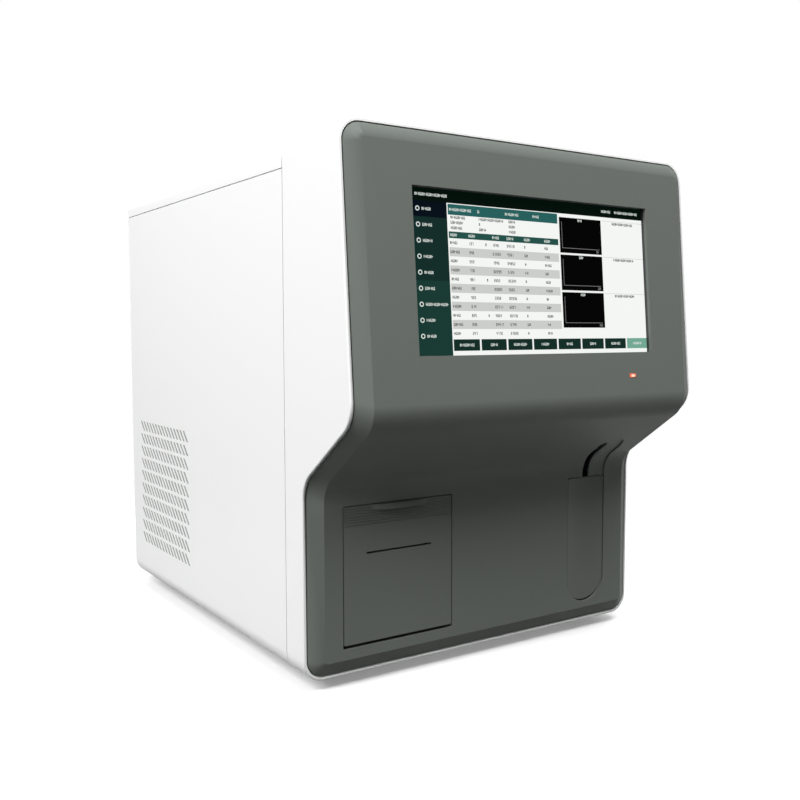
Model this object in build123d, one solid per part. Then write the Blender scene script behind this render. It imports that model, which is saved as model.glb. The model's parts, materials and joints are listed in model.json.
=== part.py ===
from build123d import *
from math import cos, radians, sin, sqrt, tan
import os

# Bench-top hematology analyzer. Millimetres, +Z up, the front faces -Y and the origin
# is the middle of the footprint on the table.

# Outer form
PANEL_W = 325.0          # dark front panel, rim to rim
PANEL_H = 389.2
LIP = 3.4                # white rim that stands round the dark panel
LIP_GAP = 1.0            # dark groove between the two
LIP_ROUND_R = 1.1
BODY_CORNER_R = 17.0     # corners of the body's section, seen from the front
REAR_ROUND_R = 10.0
FOOT_H = 9.0
BODY_DEPTH = 388.0       # lower front rim to the rear face
FITTING_REACH = 14.0     # hose fittings behind the rear face
COVER_T = 2.4            # moulded cover walls
SEAM = 0.8
SEAM_DEPTH = 26.3        # front shell's rear edge, behind the lower front rim
SIDE_SEAM_DROP = 19.4    # side panels' upper edge, below the panel's top rim

# S-shaped line of the front, seen from the side and measured from the lower rim
TILT = 4.68              # upper face leans back
SLOPE = 35.6             # underside of the overhang
KNEE_REACH = 69.2
KNEE_H = 193.0
KNEE_R = 24.0
COVE_R = 24.0
BEVEL_W = 10.65
BEVEL_D = 6.66
PANEL_T = 2.5
SKIRT = 10.0             # panel's side walls behind the rim
LEDGE_T = 2.0            # shell's ledge that the skirt rests on
LEDGE_W = 9.0
FLANK_OVERRUN = 1.2      # the flank's cut runs past the face by this share
FAR = 400.0              # beyond every outline, for cuts that go right through

# Screen, in the tilted upper face
SCREEN_W = 227.9         # opening in the panel
SCREEN_H = 115.5
SCREEN_X = 0.0
SCREEN_DROP = 97.1       # top rim to the screen's middle, along the face
SCREEN_DEPTH = 4.9
FRAME_STEP = 0.3         # frame's opening stands back from the panel's by this
FRAME_FLANGE = 4.0
GLASS_T = 1.1
LCD_T = 7.5
LCD_SIDE = 3.0           # module past the opening, at each side
LCD_END = 5.0            # module past the opening, above and below
LCD_PLUG_W = 60.0        # connector's recess in the module's back
LCD_PLUG_H = 20.0
LCD_PLUG_D = 2.0
LCD_PLUG_DROP = 30.0
LED_SIDE = 71.6          # right rim to the lamp's middle
LED_DROP = 173.2
LED_W = 6.3
LED_H = 2.7
LED_PROUD = 0.4
LED_L = 2.5              # lens behind the panel's back
LED_FLANGE = 3.0
LED_FLANGE_T = 1.2
LED_BOARD_W = 16.0
LED_BOARD_H = 10.0

# Printer door
DOOR_SIDE = 75.65        # left rim to the door's middle
DOOR_W = 99.3            # opening
DOOR_H = 106.4
DOOR_LOW = 18.6          # opening's lower edge above the rim
DOOR_GAP = 0.8
DOOR_FOOT_GAP = 2.6
DOOR_T = 3.0
HINGE_IN = 5.2           # hinge axis behind the door's face
HINGE_UP = 3.4
HINGE_PIN_R = 1.5
KNUCKLE_R = 3.0
KNUCKLE_L = 8.0
TAB_W = 50.0
TAB_REACH = 7.0
TAB_T = 3.6
DOOR_CORNER_R = 1.6
RIB_COUNT = 7
RIB_PITCH = 2.1
RIB_W = 0.8
RIB_D = 0.5
PAPER_SLOT_W = 58.6
PAPER_SLOT_H = 1.6
PAPER_SLOT_UP = 88.3     # above the rim
RUN_FIT = 0.05           # radial clearance of a turning or sliding fit

# Printer behind the door
BUCKET_T = 2.0
BUCKET_FIT = 0.3
BUCKET_DEPTH = 62.0
ROLL_R = 22.0
ROLL_W = 57.0
ROLL_CORE_R = 6.0
ROLL_IN = 34.0           # roll's axis behind the door's face
ROLL_UP = 27.0           # roll's axis above the doorway's lower edge
PLATEN_IN = 14.0
PLATEN_DROP = 2.0        # platen's axis below the paper slot
PLATEN_R = 5.0
PLATEN_SHAFT_R = 2.0

# Aspirate key and the channel that it sits in
KEY_SIDE = 54.3          # right rim to the key's middle
CHANNEL_W = 43.0
CHANNEL_LOW = 15.9       # bottom of the round end above the rim
KEY_TOP = 125.8          # upper edge of the key's opening above the rim
CHANNEL_END = 164.0      # top of the channel on the overhang, above the rim
CHANNEL_D = 1.2
KEY_GAP = 0.7
KEY_SINK = 0.4           # key's front behind the panel's face
KEY_T = 8.0
KEY_DISH = 3.0
KEY_TRAVEL = 3.0
KEY_STOP = 0.5           # left between the pressed key and its guide
KEY_STEM_R = 2.5
KEY_STEM_L = 10.0
KEY_STEM_LOW = 35.0      # above the rim
KEY_STEMS_APART = 60.0
KEY_GUIDE_LOW = 16.0
KEY_GUIDE_L = 100.0
SWITCH_PLUNGER_R = 1.5
PROBE_SLOT_W = 7.2
PROBE_SLOT_TOP = 158.0

# Side vents
VENT_ROWS = 10
VENT_COLUMNS = 15
VENT_ROW_PITCH = 12.7
VENT_PITCH = 8.5
VENT_SLOT_H = 9.4
VENT_SLOT_W = 3.6
VENT_FRONT = 222.1       # behind the lower front rim
VENT_LOW = 37.2          # above the rim

# Display behind the screen
FIT = 0.2
BOSS_R = 3.5
BOSS_GAP = 1.0           # between the frame's side and the bosses
FRAME_T = 1.5            # inner sheet metal
BOARD_X = -15.0
BOARD_W = 170.0
BOARD_H = 90.0
BOARD_DEPTH = 24.0       # control board behind the upper face
BOARD_T = 1.6
BOARD_POST_R = 2.5
POST_SHARE_X = 0.46      # posts' places as shares of the board, from its middle
POST_SHARE_Z = 0.42
CHIP = (30.0, 3.4, -30.0)            # side, height and place along the board
PLUG_BLOCK = (50.0, 8.0, 7.4, 30.0)  # length, width, height and place from the middle
BRACKET_OVER = 5.0       # bracket past the bosses' middles
BRACKET_HOLE_W = 90.0
BRACKET_HOLE_H = 50.0

# Sheet metal, feet and screws
SHEET_T = 1.2
SIDE_WRAP = 28.0
TRAY_SIDE = 18.9         # covers' side to the tray's side
TRAY_Z = 11.6
TRAY_FLANGE = 16.0
FOOT_SIDE = 47.9         # covers' side to a foot's middle
FOOT_R = 11.0
FOOT_FRONT_IN = 38.5     # lower rim to the front feet
FOOT_REAR_IN = 40.0      # rear face to the rear feet
SCREW_R = 1.5
SCREW_HOLE_R = 1.6
SCREW_HEAD_R = 3.0
SCREW_HEAD_T = 1.8
SCREW_L = 8.0
TOP_SCREWS_X = (-95.0, 0.0, 95.0)
SIDE_SCREW_IN = 3.0      # past the middle of the covers' wrap
TOP_SCREW_UP = 6.0       # above the side seam
SIDE_SCREW_LOW = 60.0
SIDE_SCREW_MIDDLE = 200.0
SIDE_SCREW_DROP = 37.2   # seam to the highest side screw
DIVIDER_X = 18.0
FRAME_FOOT = 16.0
FRAME_ROOM = 9.0         # divider's top below the covers' top
WINDOW_IN = 150.0        # divider's cable window, behind the lower rim
WINDOW_L = 70.0
WINDOW_H = 40.0
WINDOW_DROP = 26.0       # divider's top to the window's

# Probe gantry
PROBE_R = 0.9
PROBE_IN = 18.0          # parked probe behind the lower rim
PROBE_TIP = 145.0        # above the rim
DROP_ROD_R = 2.5
DROP_ROD_IN = 11.0       # behind the probe
DROP_SCREW_IN = 21.0
CARRIAGE_SIDE = 8.4      # probe's middle to the carriage's plate
CARRIAGE_T = 3.0
RAIL_SIDE = 23.3         # probe's middle to the rails' middle
BRACKET_INNER = 10.5     # rails' middle to the bracket's inner edge
BRACKET_OUTER = 12.5
GANTRY_OUT = 38.0        # gantry's front ahead of the lower rim
GANTRY_IN = 142.0
HOLDER_W = 14.4
HOLDER_Z = (252.0, 264.0)
CARRIAGE_Z = (181.0, 321.0)
RAIL_R = 4.0
RAILS_Z = (235.0, 285.0)
ADVANCE_Z = 260.0
ADVANCE_SCREW_R = 3.0
MOTOR_W = 28.0
BRACKET_TOP = 304.0
CROSS_LOW = 205.0

# Baths and syringes
SHIELD_W = 66.0
SHIELD_IN = 46.0         # behind the lower rim
SHIELD_L = 78.0
BATH_IN = 48.0           # parked probe to the first bath's middle
BATH_PITCH = 36.0
SHIELD_TOP = 112.0
BATH_LOW = 60.0
BATH_H = 46.0
BATH_R = 13.0
SYRINGE_X = 36.0
SYRINGE_IN = 60.0        # behind the lower rim
SYRINGE_SCREW_R = 3.0
SYRINGE_MOTOR_TOP = 66.0
BARREL_TOP = 190.0
BARREL_L = 52.0
CROSSBAR_Z = 112.0
PISTON_Z = 176.0
BARRELS = ((-15.0, 6.0), (15.0, 3.2))

# Pump, valves, boards and supply
PUMP_Z = 82.0
PUMP_R = 29.0
PUMP_SHAFT_R = 3.0
VALVES_Z = 200.0
PUMP_IN = 188.0          # rear face to the pump's middle
VALVES_IN = 138.0
MANIFOLD_T = 8.0
MANIFOLD_L = 132.0
MANIFOLD_H = 70.0
VALVE_COLUMNS = 4
VALVE_PITCH = 31.0
VALVE_ROWS_APART = 34.0
VALVE_R = 10.0
VALVE_L = 30.0
CHAMBER_IN = 68.0
CHAMBER_SIDE = 70.9      # covers' side to the waste chamber's middle
CHAMBER_H = 110.0
CHAMBER_R = 27.0
CHAMBER_WALL = 2.5
CHAMBER_FLOOR = 3.0
CHAMBER_LID = 6.0
CHAMBER_SPOUTS_APART = 20.0
CHAMBER_SPOUT_L = 10.0
MAIN_BOARD_IN = 178.0    # rear face to the main board's middle
MAIN_BOARD_L = 230.0
MAIN_BOARD_Z = (120.0, 330.0)
STANDOFF_L = 8.0
STANDOFF_IN = 10.0
STANDOFF_R = 3.0
# Processor, drive connectors and data header: place along the board from its middle,
# length, rise above the board's lower edge, height and thickness
BOARD_BLOCKS = (
    (-30.0, 40.0, 80.0, 40.0, 4.4),
    (70.0, 14.0, 20.0, 80.0, 12.4),
    (-90.0, 10.0, 130.0, 60.0, 9.4),
)
SUPPLY_SIDE = 75.9
SUPPLY_L = 130.0
SUPPLY_W = 96.0
SUPPLY_H = 46.0
SUPPLY_SLOTS = 8
SUPPLY_SLOT_IN = 25.0
SUPPLY_SLOT_PITCH = 14.0
SUPPLY_SLOT_L = 60.0
SUPPLY_SLOT_W = 5.0
SUPPLY_SLOT_D = 2.0
SUPPLY_ROOM = 58.0       # kept free between the supply and the rear face

# Rear
FAN_SIDE = 77.9          # covers' side to the fan's middle
FAN_Z = 262.0
FAN_W = 80.0
FAN_T = 25.0
FAN_BORE_R = 38.0
FAN_HUB_R = 17.0
FAN_PIN_R = 2.5
FAN_BLADES = 7
FAN_PITCH = 71.5
GUARD_WIRE_R = 1.0
GUARD_RINGS_R = (12.0, 22.0, 32.0, 42.0)
BLADE_PITCH = 35.0       # degrees
BLADE_W = 20.0
BLADE_T = 1.4
INLET_SIDE = 53.9
INLET_Z = 75.0
INLET_W = 28.0
INLET_H = 48.0
PLUG_DROP = 11.0
ROCKER_RISE = 11.5
ROCKER_AXIS_IN = 2.0     # rocker's axis inside the rear panel's seat
ROCKER_W = 13.0
ROCKER_H = 17.0
SOCKETS_X = -40.0
SOCKETS_Z = 70.0
SOCKETS_W = 54.0
SOCKETS_H = 14.0
FITTING_SIDE = 69.9
FITTINGS_Z = (70.0, 105.0, 140.0, 175.0)
FITTING_THREAD_R = 5.0
HOSE_STEM_R = 3.0

# Worked out from the sizes above
OUTER_W = PANEL_W + 2 * LIP
BODY_H = PANEL_H + 2 * LIP
BODY_Z = FOOT_H
RIM_Z = BODY_Z + LIP
TOP_RIM_Z = RIM_Z + PANEL_H
TOP_Z = BODY_Z + BODY_H
PANEL_CORNER_R = BODY_CORNER_R - LIP
TILT_RAD = radians(TILT)
SLOPE_RAD = radians(SLOPE)
COVE_H = KNEE_H - KNEE_REACH * tan(SLOPE_RAD)
TOP_REACH = KNEE_REACH - (PANEL_H - KNEE_H) * tan(TILT_RAD)
DOOR_X = DOOR_SIDE - PANEL_W / 2
KEY_X = PANEL_W / 2 - KEY_SIDE
LED_X = PANEL_W / 2 - LED_SIDE
TRAY_W = OUTER_W - 2 * TRAY_SIDE
CHAMBER_X = OUTER_W / 2 - CHAMBER_SIDE
SUPPLY_X = SUPPLY_SIDE - OUTER_W / 2
FAN_X = FAN_SIDE - OUTER_W / 2
INLET_X = INLET_SIDE - OUTER_W / 2
FITTING_X = OUTER_W / 2 - FITTING_SIDE
FOOT_X = OUTER_W / 2 - FOOT_SIDE
BOSS_SPAN_X = SCREEN_W + 2 * (FRAME_FLANGE + BOSS_GAP + BOSS_R)
BOSS_SPAN_Z = SCREEN_H
FACE_DROP = BEVEL_D * (1 - sin(SLOPE_RAD)) / cos(SLOPE_RAD)
UPPER_BEVEL_D = BEVEL_D * cos(TILT_RAD) - FACE_DROP * sin(TILT_RAD)
FACE_T = PANEL_T * UPPER_BEVEL_D / BEVEL_D
KNEE_ARC_UP = KNEE_R * (cos(TILT_RAD) - sin(SLOPE_RAD)) / cos(TILT_RAD - SLOPE_RAD)
KNEE_ARC_IN = (KNEE_R + KNEE_ARC_UP * sin(TILT_RAD)) / cos(TILT_RAD)
FRONT_REACH = KNEE_REACH - KNEE_ARC_IN + KNEE_R + BEVEL_D
DEPTH = FRONT_REACH + BODY_DEPTH + FITTING_REACH
RIM_Y = FRONT_REACH - DEPTH / 2
REAR_Y = RIM_Y + BODY_DEPTH
SEAM_Y = RIM_Y + SEAM_DEPTH
FACE_Y = RIM_Y - BEVEL_D
SIDE_SEAM_Z = TOP_RIM_Z - SIDE_SEAM_DROP
MID_Z = BODY_Z + BODY_H / 2
DOOR_SPAN_X = (DOOR_X - DOOR_W / 2, DOOR_X + DOOR_W / 2)
DOOR_SPAN_Z = (RIM_Z + DOOR_LOW, RIM_Z + DOOR_LOW + DOOR_H)
HINGE_Y = FACE_Y + HINGE_IN
HINGE_Z = DOOR_SPAN_Z[0] + DOOR_FOOT_GAP + HINGE_UP
ROLL_Y = FACE_Y + ROLL_IN
ROLL_Z = DOOR_SPAN_Z[0] + ROLL_UP
PLATEN_Y = FACE_Y + PLATEN_IN
PLATEN_Z = RIM_Z + PAPER_SLOT_UP - PLATEN_DROP
KEY_STEMS_Z = (RIM_Z + KEY_STEM_LOW, RIM_Z + KEY_STEM_LOW + KEY_STEMS_APART)
KEY_GUIDE_Z = (RIM_Z + KEY_GUIDE_LOW, RIM_Z + KEY_GUIDE_LOW + KEY_GUIDE_L)
KEY_FRONT_Y = FACE_Y + KEY_SINK
KEY_GUIDE_Y = KEY_FRONT_Y + KEY_T + KEY_TRAVEL + KEY_STOP
GLASS_BACK = SCREEN_DEPTH + GLASS_T
LCD_BACK = GLASS_BACK + LCD_T
BRACKET_DEPTH = LCD_BACK
PROBE_Y = RIM_Y + PROBE_IN
PROBE_TIP_Z = RIM_Z + PROBE_TIP
DROP_ROD_Y = PROBE_Y + DROP_ROD_IN
DROP_SCREW_Y = PROBE_Y + DROP_SCREW_IN
CARRIAGE_X = (KEY_X + CARRIAGE_SIDE, KEY_X + CARRIAGE_SIDE + CARRIAGE_T)
RAIL_X = KEY_X + RAIL_SIDE
BRACKET_X = (RAIL_X - BRACKET_INNER, RAIL_X + BRACKET_OUTER)
GANTRY_FRONT_Y = RIM_Y - GANTRY_OUT
GANTRY_REAR_Y = RIM_Y + GANTRY_IN
SHIELD_Y = (RIM_Y + SHIELD_IN, RIM_Y + SHIELD_IN + SHIELD_L)
BATHS_Y = (PROBE_Y + BATH_IN, PROBE_Y + BATH_IN + BATH_PITCH)
SYRINGE_Y = RIM_Y + SYRINGE_IN
PUMP_Y = REAR_Y - PUMP_IN
VALVES_Y = REAR_Y - VALVES_IN
CHAMBER_Y = REAR_Y - CHAMBER_IN
BOARD_Y = REAR_Y - MAIN_BOARD_IN
SUPPLY_Y = (REAR_Y - SUPPLY_ROOM - SUPPLY_L, REAR_Y - SUPPLY_ROOM)
FAN_SCREWS = [(FAN_X + x * FAN_PITCH / 2, FAN_Z + z * FAN_PITCH / 2) for x in (-1, 1) for z in (-1, 1)]
PLUG_Z = INLET_Z - PLUG_DROP
ROCKER_Z = INLET_Z + ROCKER_RISE
ROCKER_Y = REAR_Y - COVER_T - ROCKER_AXIS_IN
SIDE_SCREW_X = OUTER_W / 2 - SIDE_WRAP / 2 - SIDE_SCREW_IN
SIDE_SCREWS_Z = (SIDE_SCREW_LOW, SIDE_SCREW_MIDDLE, SIDE_SEAM_Z - SIDE_SCREW_DROP)
TOP_SCREW_Z = SIDE_SEAM_Z + TOP_SCREW_UP
FRAME_TOP = TOP_Z - FRAME_ROOM
FEET_Y = (RIM_Y + FOOT_FRONT_IN, REAR_Y - FOOT_REAR_IN)


def span(x, y, z):
    """Box between two limits on each axis."""
    size = [high - low for low, high in (x, y, z)]
    middle = [(high + low) / 2 for low, high in (x, y, z)]
    return Pos(*middle) * Box(*size)


def bar(axis, at, reach, radius, bore=0.0):
    """Round bar along X, Y or Z between two limits, at a point of the other two axes."""
    low, high = reach
    solid = Cylinder(radius, high - low)
    if bore:
        solid -= Cylinder(bore, high - low)
    middle = (low + high) / 2
    if axis == "x":
        return Pos(middle, at[0], at[1]) * Rot(0, 90, 0) * solid
    if axis == "y":
        return Pos(at[0], middle, at[1]) * Rot(90, 0, 0) * solid
    return Pos(at[0], at[1], middle) * solid


def slab(sketch, x):
    """Sketch drawn in Y and Z, extruded between two places along X."""
    return Pos(x[0], 0, 0) * extrude(Plane.YZ * sketch, x[1] - x[0])


def side_line(forward, drop, low, high):
    """S-shaped line of the front in Y and Z, moved forward and down."""
    knee = (RIM_Y - forward - KNEE_REACH, RIM_Z + KNEE_H - drop)
    cove = (RIM_Y - forward, RIM_Z + COVE_H - drop)
    top = (knee[0] + (high - knee[1]) * tan(TILT_RAD), high)
    return FilletPolyline((cove[0], low), cove, knee, top, radius=[COVE_R, KNEE_R])


def behind_line(forward, drop, back_y, low, high):
    """Region between the S-shaped line and a plane behind it."""
    front = side_line(forward, drop, low, high)
    rest = Polyline(front @ 1, (back_y, high), (back_y, low), front @ 0)
    return make_face(front.edges() + rest.edges())


def line_band(forward, drop, back, low, high):
    """Band between the S-shaped line and the same line moved back."""
    front = side_line(forward, drop, low, high)
    rear = side_line(-back, 0, low, high)
    caps = Line(front @ 0, rear @ 0) + Line(front @ 1, rear @ 1)
    return make_face(front.edges() + rear.edges() + caps.edges())


def body_block(inset, y, rear_round=0.0):
    """Rounded section of the body, extruded from front to back."""
    radius = BODY_CORNER_R - inset
    section = RectangleRounded(OUTER_W - 2 * inset, BODY_H - 2 * inset, radius)
    block = Pos(0, y[1], MID_Z) * extrude(Plane.XZ * section, y[1] - y[0])
    if rear_round:
        block = fillet(block.faces().sort_by(Axis.Y)[-1].edges(), rear_round)
    return block


def face_plane(x, along, out=0.0):
    """Plane on the tilted upper rim, a distance below the top rim and a distance out."""
    y = RIM_Y - TOP_REACH - along * sin(TILT_RAD) - out * cos(TILT_RAD)
    z = TOP_RIM_Z - along * cos(TILT_RAD) + out * sin(TILT_RAD)
    return Plane((x, y, z), x_dir=(1, 0, 0), z_dir=(0, -cos(TILT_RAD), sin(TILT_RAD)))


def face_box(width, height, depth, x=SCREEN_X, along=SCREEN_DROP):
    """Box square to the upper face, between two depths below it."""
    near, far = depth
    middle = UPPER_BEVEL_D - (near + far) / 2
    return face_plane(x, along, middle) * Box(width, height, far - near)


def corner_cutter(depth, inset):
    """What a bevelled round corner takes off a square one, in the corner's own plane."""
    radius = PANEL_CORNER_R - inset
    tip = PANEL_CORNER_R - BEVEL_W
    cone = depth * (radius - tip) / BEVEL_W
    reach = 3 * SKIRT
    keep = Pos(0, 0, -reach / 2) * Cylinder(radius, reach)
    keep += Pos(0, 0, cone / 2) * Cone(radius, tip, cone)
    keep += Pos(0, 0, cone + reach / 2) * Cylinder(tip, reach)
    block = Pos(radius, radius, 0) * Box(2 * radius, 2 * radius, 2 * reach)
    return block - keep


def panel_form(inset, back):
    """Bevelled S-shaped block of the front panel, or its inside when inset by a wall."""
    low, high = RIM_Z - SKIRT, TOP_RIM_Z + SKIRT
    shrink = 1 - inset / BEVEL_D
    forward, drop = BEVEL_D * shrink, FACE_DROP * shrink
    half = PANEL_W / 2 - inset
    block = slab(line_band(forward, drop, back, low, high), (-half, half))
    rim_in, rim_up = inset, FACE_DROP * inset / BEVEL_D
    start = side_line(-rim_in, -rim_up, low - SKIRT, high + SKIRT)
    rest = Polyline(start @ 1, (RIM_Y - FAR, high + SKIRT), (RIM_Y - FAR, low - SKIRT), start @ 0)
    before = make_face(start.edges() + rest.edges())
    for side in (-1, 1):
        slant = Vector(-side * BEVEL_W, -BEVEL_D, -FACE_DROP)
        flank = extrude(Plane.YZ * before, slant.length * FLANK_OVERRUN, dir=slant)
        block -= Pos(side * half, 0, 0) * flank
    far = 5 * BEVEL_W
    rise = UPPER_BEVEL_D / BEVEL_W
    roof_line = [(0, -FAR), (0, 0), (-far, far * rise), (-far, FAR), (FAR, FAR), (FAR, -FAR)]
    roof_face = make_face(Polyline(*roof_line, roof_line[0]).edges())
    top = face_plane(-PANEL_W, inset, -inset)
    block -= extrude(Plane(top.origin, x_dir=top.y_dir, z_dir=(1, 0, 0)) * roof_face, 2 * PANEL_W)
    rise = BEVEL_D / BEVEL_W
    foot_line = [(FAR, -FAR), (FAR, 0), (0, 0), (-far * rise, far), (-FAR, far), (-FAR, -FAR)]
    foot_face = make_face(Polyline(*foot_line, foot_line[0]).edges())
    block -= slab(Pos(RIM_Y + inset, RIM_Z + inset) * foot_face, (-PANEL_W, PANEL_W))
    for side in (-1, 1):
        x = side * (half - PANEL_CORNER_R + inset)
        turn = Rot(0, 0, 90) if side < 0 else Rot(0, 0, 0)
        at_top = face_plane(x, PANEL_CORNER_R, -inset) * turn
        block -= at_top * corner_cutter(UPPER_BEVEL_D, inset)
        turn = Rot(0, 0, 180) if side < 0 else Rot(0, 0, 270)
        low_plane = Plane((x, RIM_Y + inset, RIM_Z + PANEL_CORNER_R), x_dir=(1, 0, 0), z_dir=(0, -1, 0))
        block -= low_plane * turn * corner_cutter(BEVEL_D, inset)
    return block


def channel_plan(gap, low, high, y):
    """Prism of the key channel's outline, round at the bottom, between two depths."""
    radius = CHANNEL_W / 2 - gap
    centre_z = RIM_Z + CHANNEL_LOW + CHANNEL_W / 2
    top = high - gap
    prism = span((KEY_X - radius, KEY_X + radius), y, (max(low, centre_z), top))
    if low < centre_z:
        prism += bar("y", (KEY_X, centre_z), y, radius)
    return prism


def key_opening(gap, y):
    return channel_plan(gap, RIM_Z, RIM_Z + KEY_TOP, y)


def channel_recess():
    """Shallow bed above the key, which ends in a half round on the overhang."""
    radius = CHANNEL_W / 2
    end_z = RIM_Z + CHANNEL_END - radius * sin(SLOPE_RAD)
    low = RIM_Z + KEY_TOP - 1
    near = (RIM_Y - KNEE_REACH, RIM_Y)
    plan = span((KEY_X - radius, KEY_X + radius), near, (low, end_z))
    end = extrude(Plane.XZ * Ellipse(radius, radius * sin(SLOPE_RAD)), KNEE_REACH)
    plan += Pos(KEY_X, RIM_Y, end_z) * end
    share = 1 - CHANNEL_D / BEVEL_D
    front = side_line(BEVEL_D * share, FACE_DROP * share, RIM_Z - SKIRT, TOP_RIM_Z)
    rest = Polyline(front @ 1, (RIM_Y - FAR, TOP_RIM_Z), (RIM_Y - FAR, RIM_Z - SKIRT), front @ 0)
    before = make_face(front.edges() + rest.edges())
    return plan & slab(before, (KEY_X - CHANNEL_W, KEY_X + CHANNEL_W))


def probe_slot():
    half = PROBE_SLOT_W / 2
    top = RIM_Z + PROBE_SLOT_TOP - half
    y = (RIM_Y - KNEE_REACH, RIM_Y)
    slot = span((KEY_X - half, KEY_X + half), y, (RIM_Z + KEY_TOP - 1, top))
    return slot + bar("y", (KEY_X, top), y, half)


def front_panel():
    panel = panel_form(0, SKIRT) - panel_form(PANEL_T, 3 * SKIRT)
    for x in (-1, 1):
        for along in (-1, 1):
            spot = (SCREEN_X + x * BOSS_SPAN_X / 2, SCREEN_DROP + along * BOSS_SPAN_Z / 2)
            depth = (FACE_T - 1 + BRACKET_DEPTH) / 2
            post = Cylinder(BOSS_R, BRACKET_DEPTH - FACE_T + 1)
            panel += face_plane(*spot, UPPER_BEVEL_D - depth) * post
    panel -= face_box(SCREEN_W, SCREEN_H, (-1, PANEL_T + 1))
    panel -= face_box(LED_W + 2 * FIT, LED_H + 2 * FIT, (-1, PANEL_T + 1), LED_X, LED_DROP)
    wall = (FACE_Y - 1, FACE_Y + PANEL_T + 1)
    doorway = span(DOOR_SPAN_X, wall, DOOR_SPAN_Z)
    panel -= fillet(doorway.edges().filter_by(Axis.Y), DOOR_CORNER_R)
    panel -= key_opening(0, wall)
    panel -= channel_recess()
    panel -= probe_slot()
    return panel


def front_shell():
    low, high = BODY_Z - SEAM, TOP_Z + SEAM
    deep = (RIM_Y - 2 * KNEE_REACH, SEAM_Y)
    wall = LIP - LIP_GAP
    form = slab(behind_line(0, 0, SEAM_Y, low, high), (-OUTER_W, OUTER_W))
    shell = form & body_block(0, deep)
    rim = [e for e in shell.edges() if abs(e.center().Y - SEAM_Y) > SEAM_DEPTH / 2]
    shell = fillet([e for e in rim if on_front(e)], LIP_ROUND_R)
    shell -= body_block(wall, (deep[0], SEAM_Y + 1))
    ledge = slab(line_band(-SKIRT, 0, SKIRT + LEDGE_T, low, high), (-OUTER_W, OUTER_W))
    ledge &= body_block(wall / 2, deep)
    ledge -= body_block(wall + LEDGE_W, deep)
    return shell + ledge


def on_front(edge):
    """Whether an edge of the shell runs along its S-shaped front."""
    ends = [edge @ 0, edge @ 0.5, edge @ 1]
    ahead = all(point.Y < SEAM_Y - SEAM_DEPTH / 2 for point in ends)
    return ahead and abs(ends[0].Z - ends[2].Z) + abs(ends[0].X - ends[2].X) > 1


def cover_skin():
    """Hollow rounded body behind the front seam, open at the front."""
    skin = body_block(0, (SEAM_Y + SEAM, REAR_Y), REAR_ROUND_R)
    return skin - body_block(COVER_T, (SEAM_Y, REAR_Y - COVER_T), REAR_ROUND_R - COVER_T)


def top_cover():
    cover = cover_skin() & span((-OUTER_W, OUTER_W), (-FAR, FAR), (SIDE_SEAM_Z, TOP_Z + 1))
    through = (REAR_Y - 20, REAR_Y + 1)
    return cover - [bar("y", (x, TOP_SCREW_Z), through, SCREW_HOLE_R) for x in TOP_SCREWS_X]


def side_cover():
    wrap = (-OUTER_W / 2 - 1, -OUTER_W / 2 + SIDE_WRAP)
    cover = cover_skin() & span(wrap, (-FAR, FAR), (0, SIDE_SEAM_Z - SEAM))
    through = (REAR_Y - 20, REAR_Y + 1)
    return cover - [bar("y", (-SIDE_SCREW_X, z), through, SCREW_HOLE_R) for z in SIDE_SCREWS_Z]


def vent_slots():
    """Slots that lean back, in rows across the lower rear of the left side."""
    lean = VENT_SLOT_H
    outline = [(0, 0), (VENT_SLOT_W, 0), (VENT_SLOT_W + lean, VENT_SLOT_H), (lean, VENT_SLOT_H)]
    face = make_face(Polyline(*outline, outline[0]).edges())
    slot = slab(face, (-OUTER_W / 2 - 1, -OUTER_W / 2 + 2 * COVER_T))
    slots = []
    for row in range(VENT_ROWS):
        for column in range(VENT_COLUMNS):
            y = RIM_Y + VENT_FRONT + column * VENT_PITCH
            slots.append(Pos(0, y, RIM_Z + VENT_LOW + row * VENT_ROW_PITCH) * slot)
    return slots


def rear_panel():
    inner = REAR_Y - COVER_T
    plate = body_block(REAR_ROUND_R + FIT, (inner - SHEET_T, inner))
    cut = (inner - 2 * SHEET_T, inner + 1)
    plate -= bar("y", (FAN_X, FAN_Z), cut, FAN_BORE_R)
    for x, z in FAN_SCREWS:
        plate -= bar("y", (x, z), cut, SCREW_HOLE_R)
    plate -= span(around(INLET_X, INLET_W), cut, around(INLET_Z, INLET_H))
    plate -= span(around(SOCKETS_X, SOCKETS_W), cut, around(SOCKETS_Z, SOCKETS_H))
    for z in FITTINGS_Z:
        plate -= bar("y", (FITTING_X, z), cut, FITTING_THREAD_R)
    for x in TOP_SCREWS_X:
        plate -= bar("y", (x, TOP_SCREW_Z), cut, SCREW_HOLE_R)
    for z in SIDE_SCREWS_Z:
        for side in (-1, 1):
            plate -= bar("y", (side * SIDE_SCREW_X, z), cut, SCREW_HOLE_R)
    return plate


def around(middle, size):
    """Limits of a size about its middle."""
    return (middle - size / 2, middle + size / 2)


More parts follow.
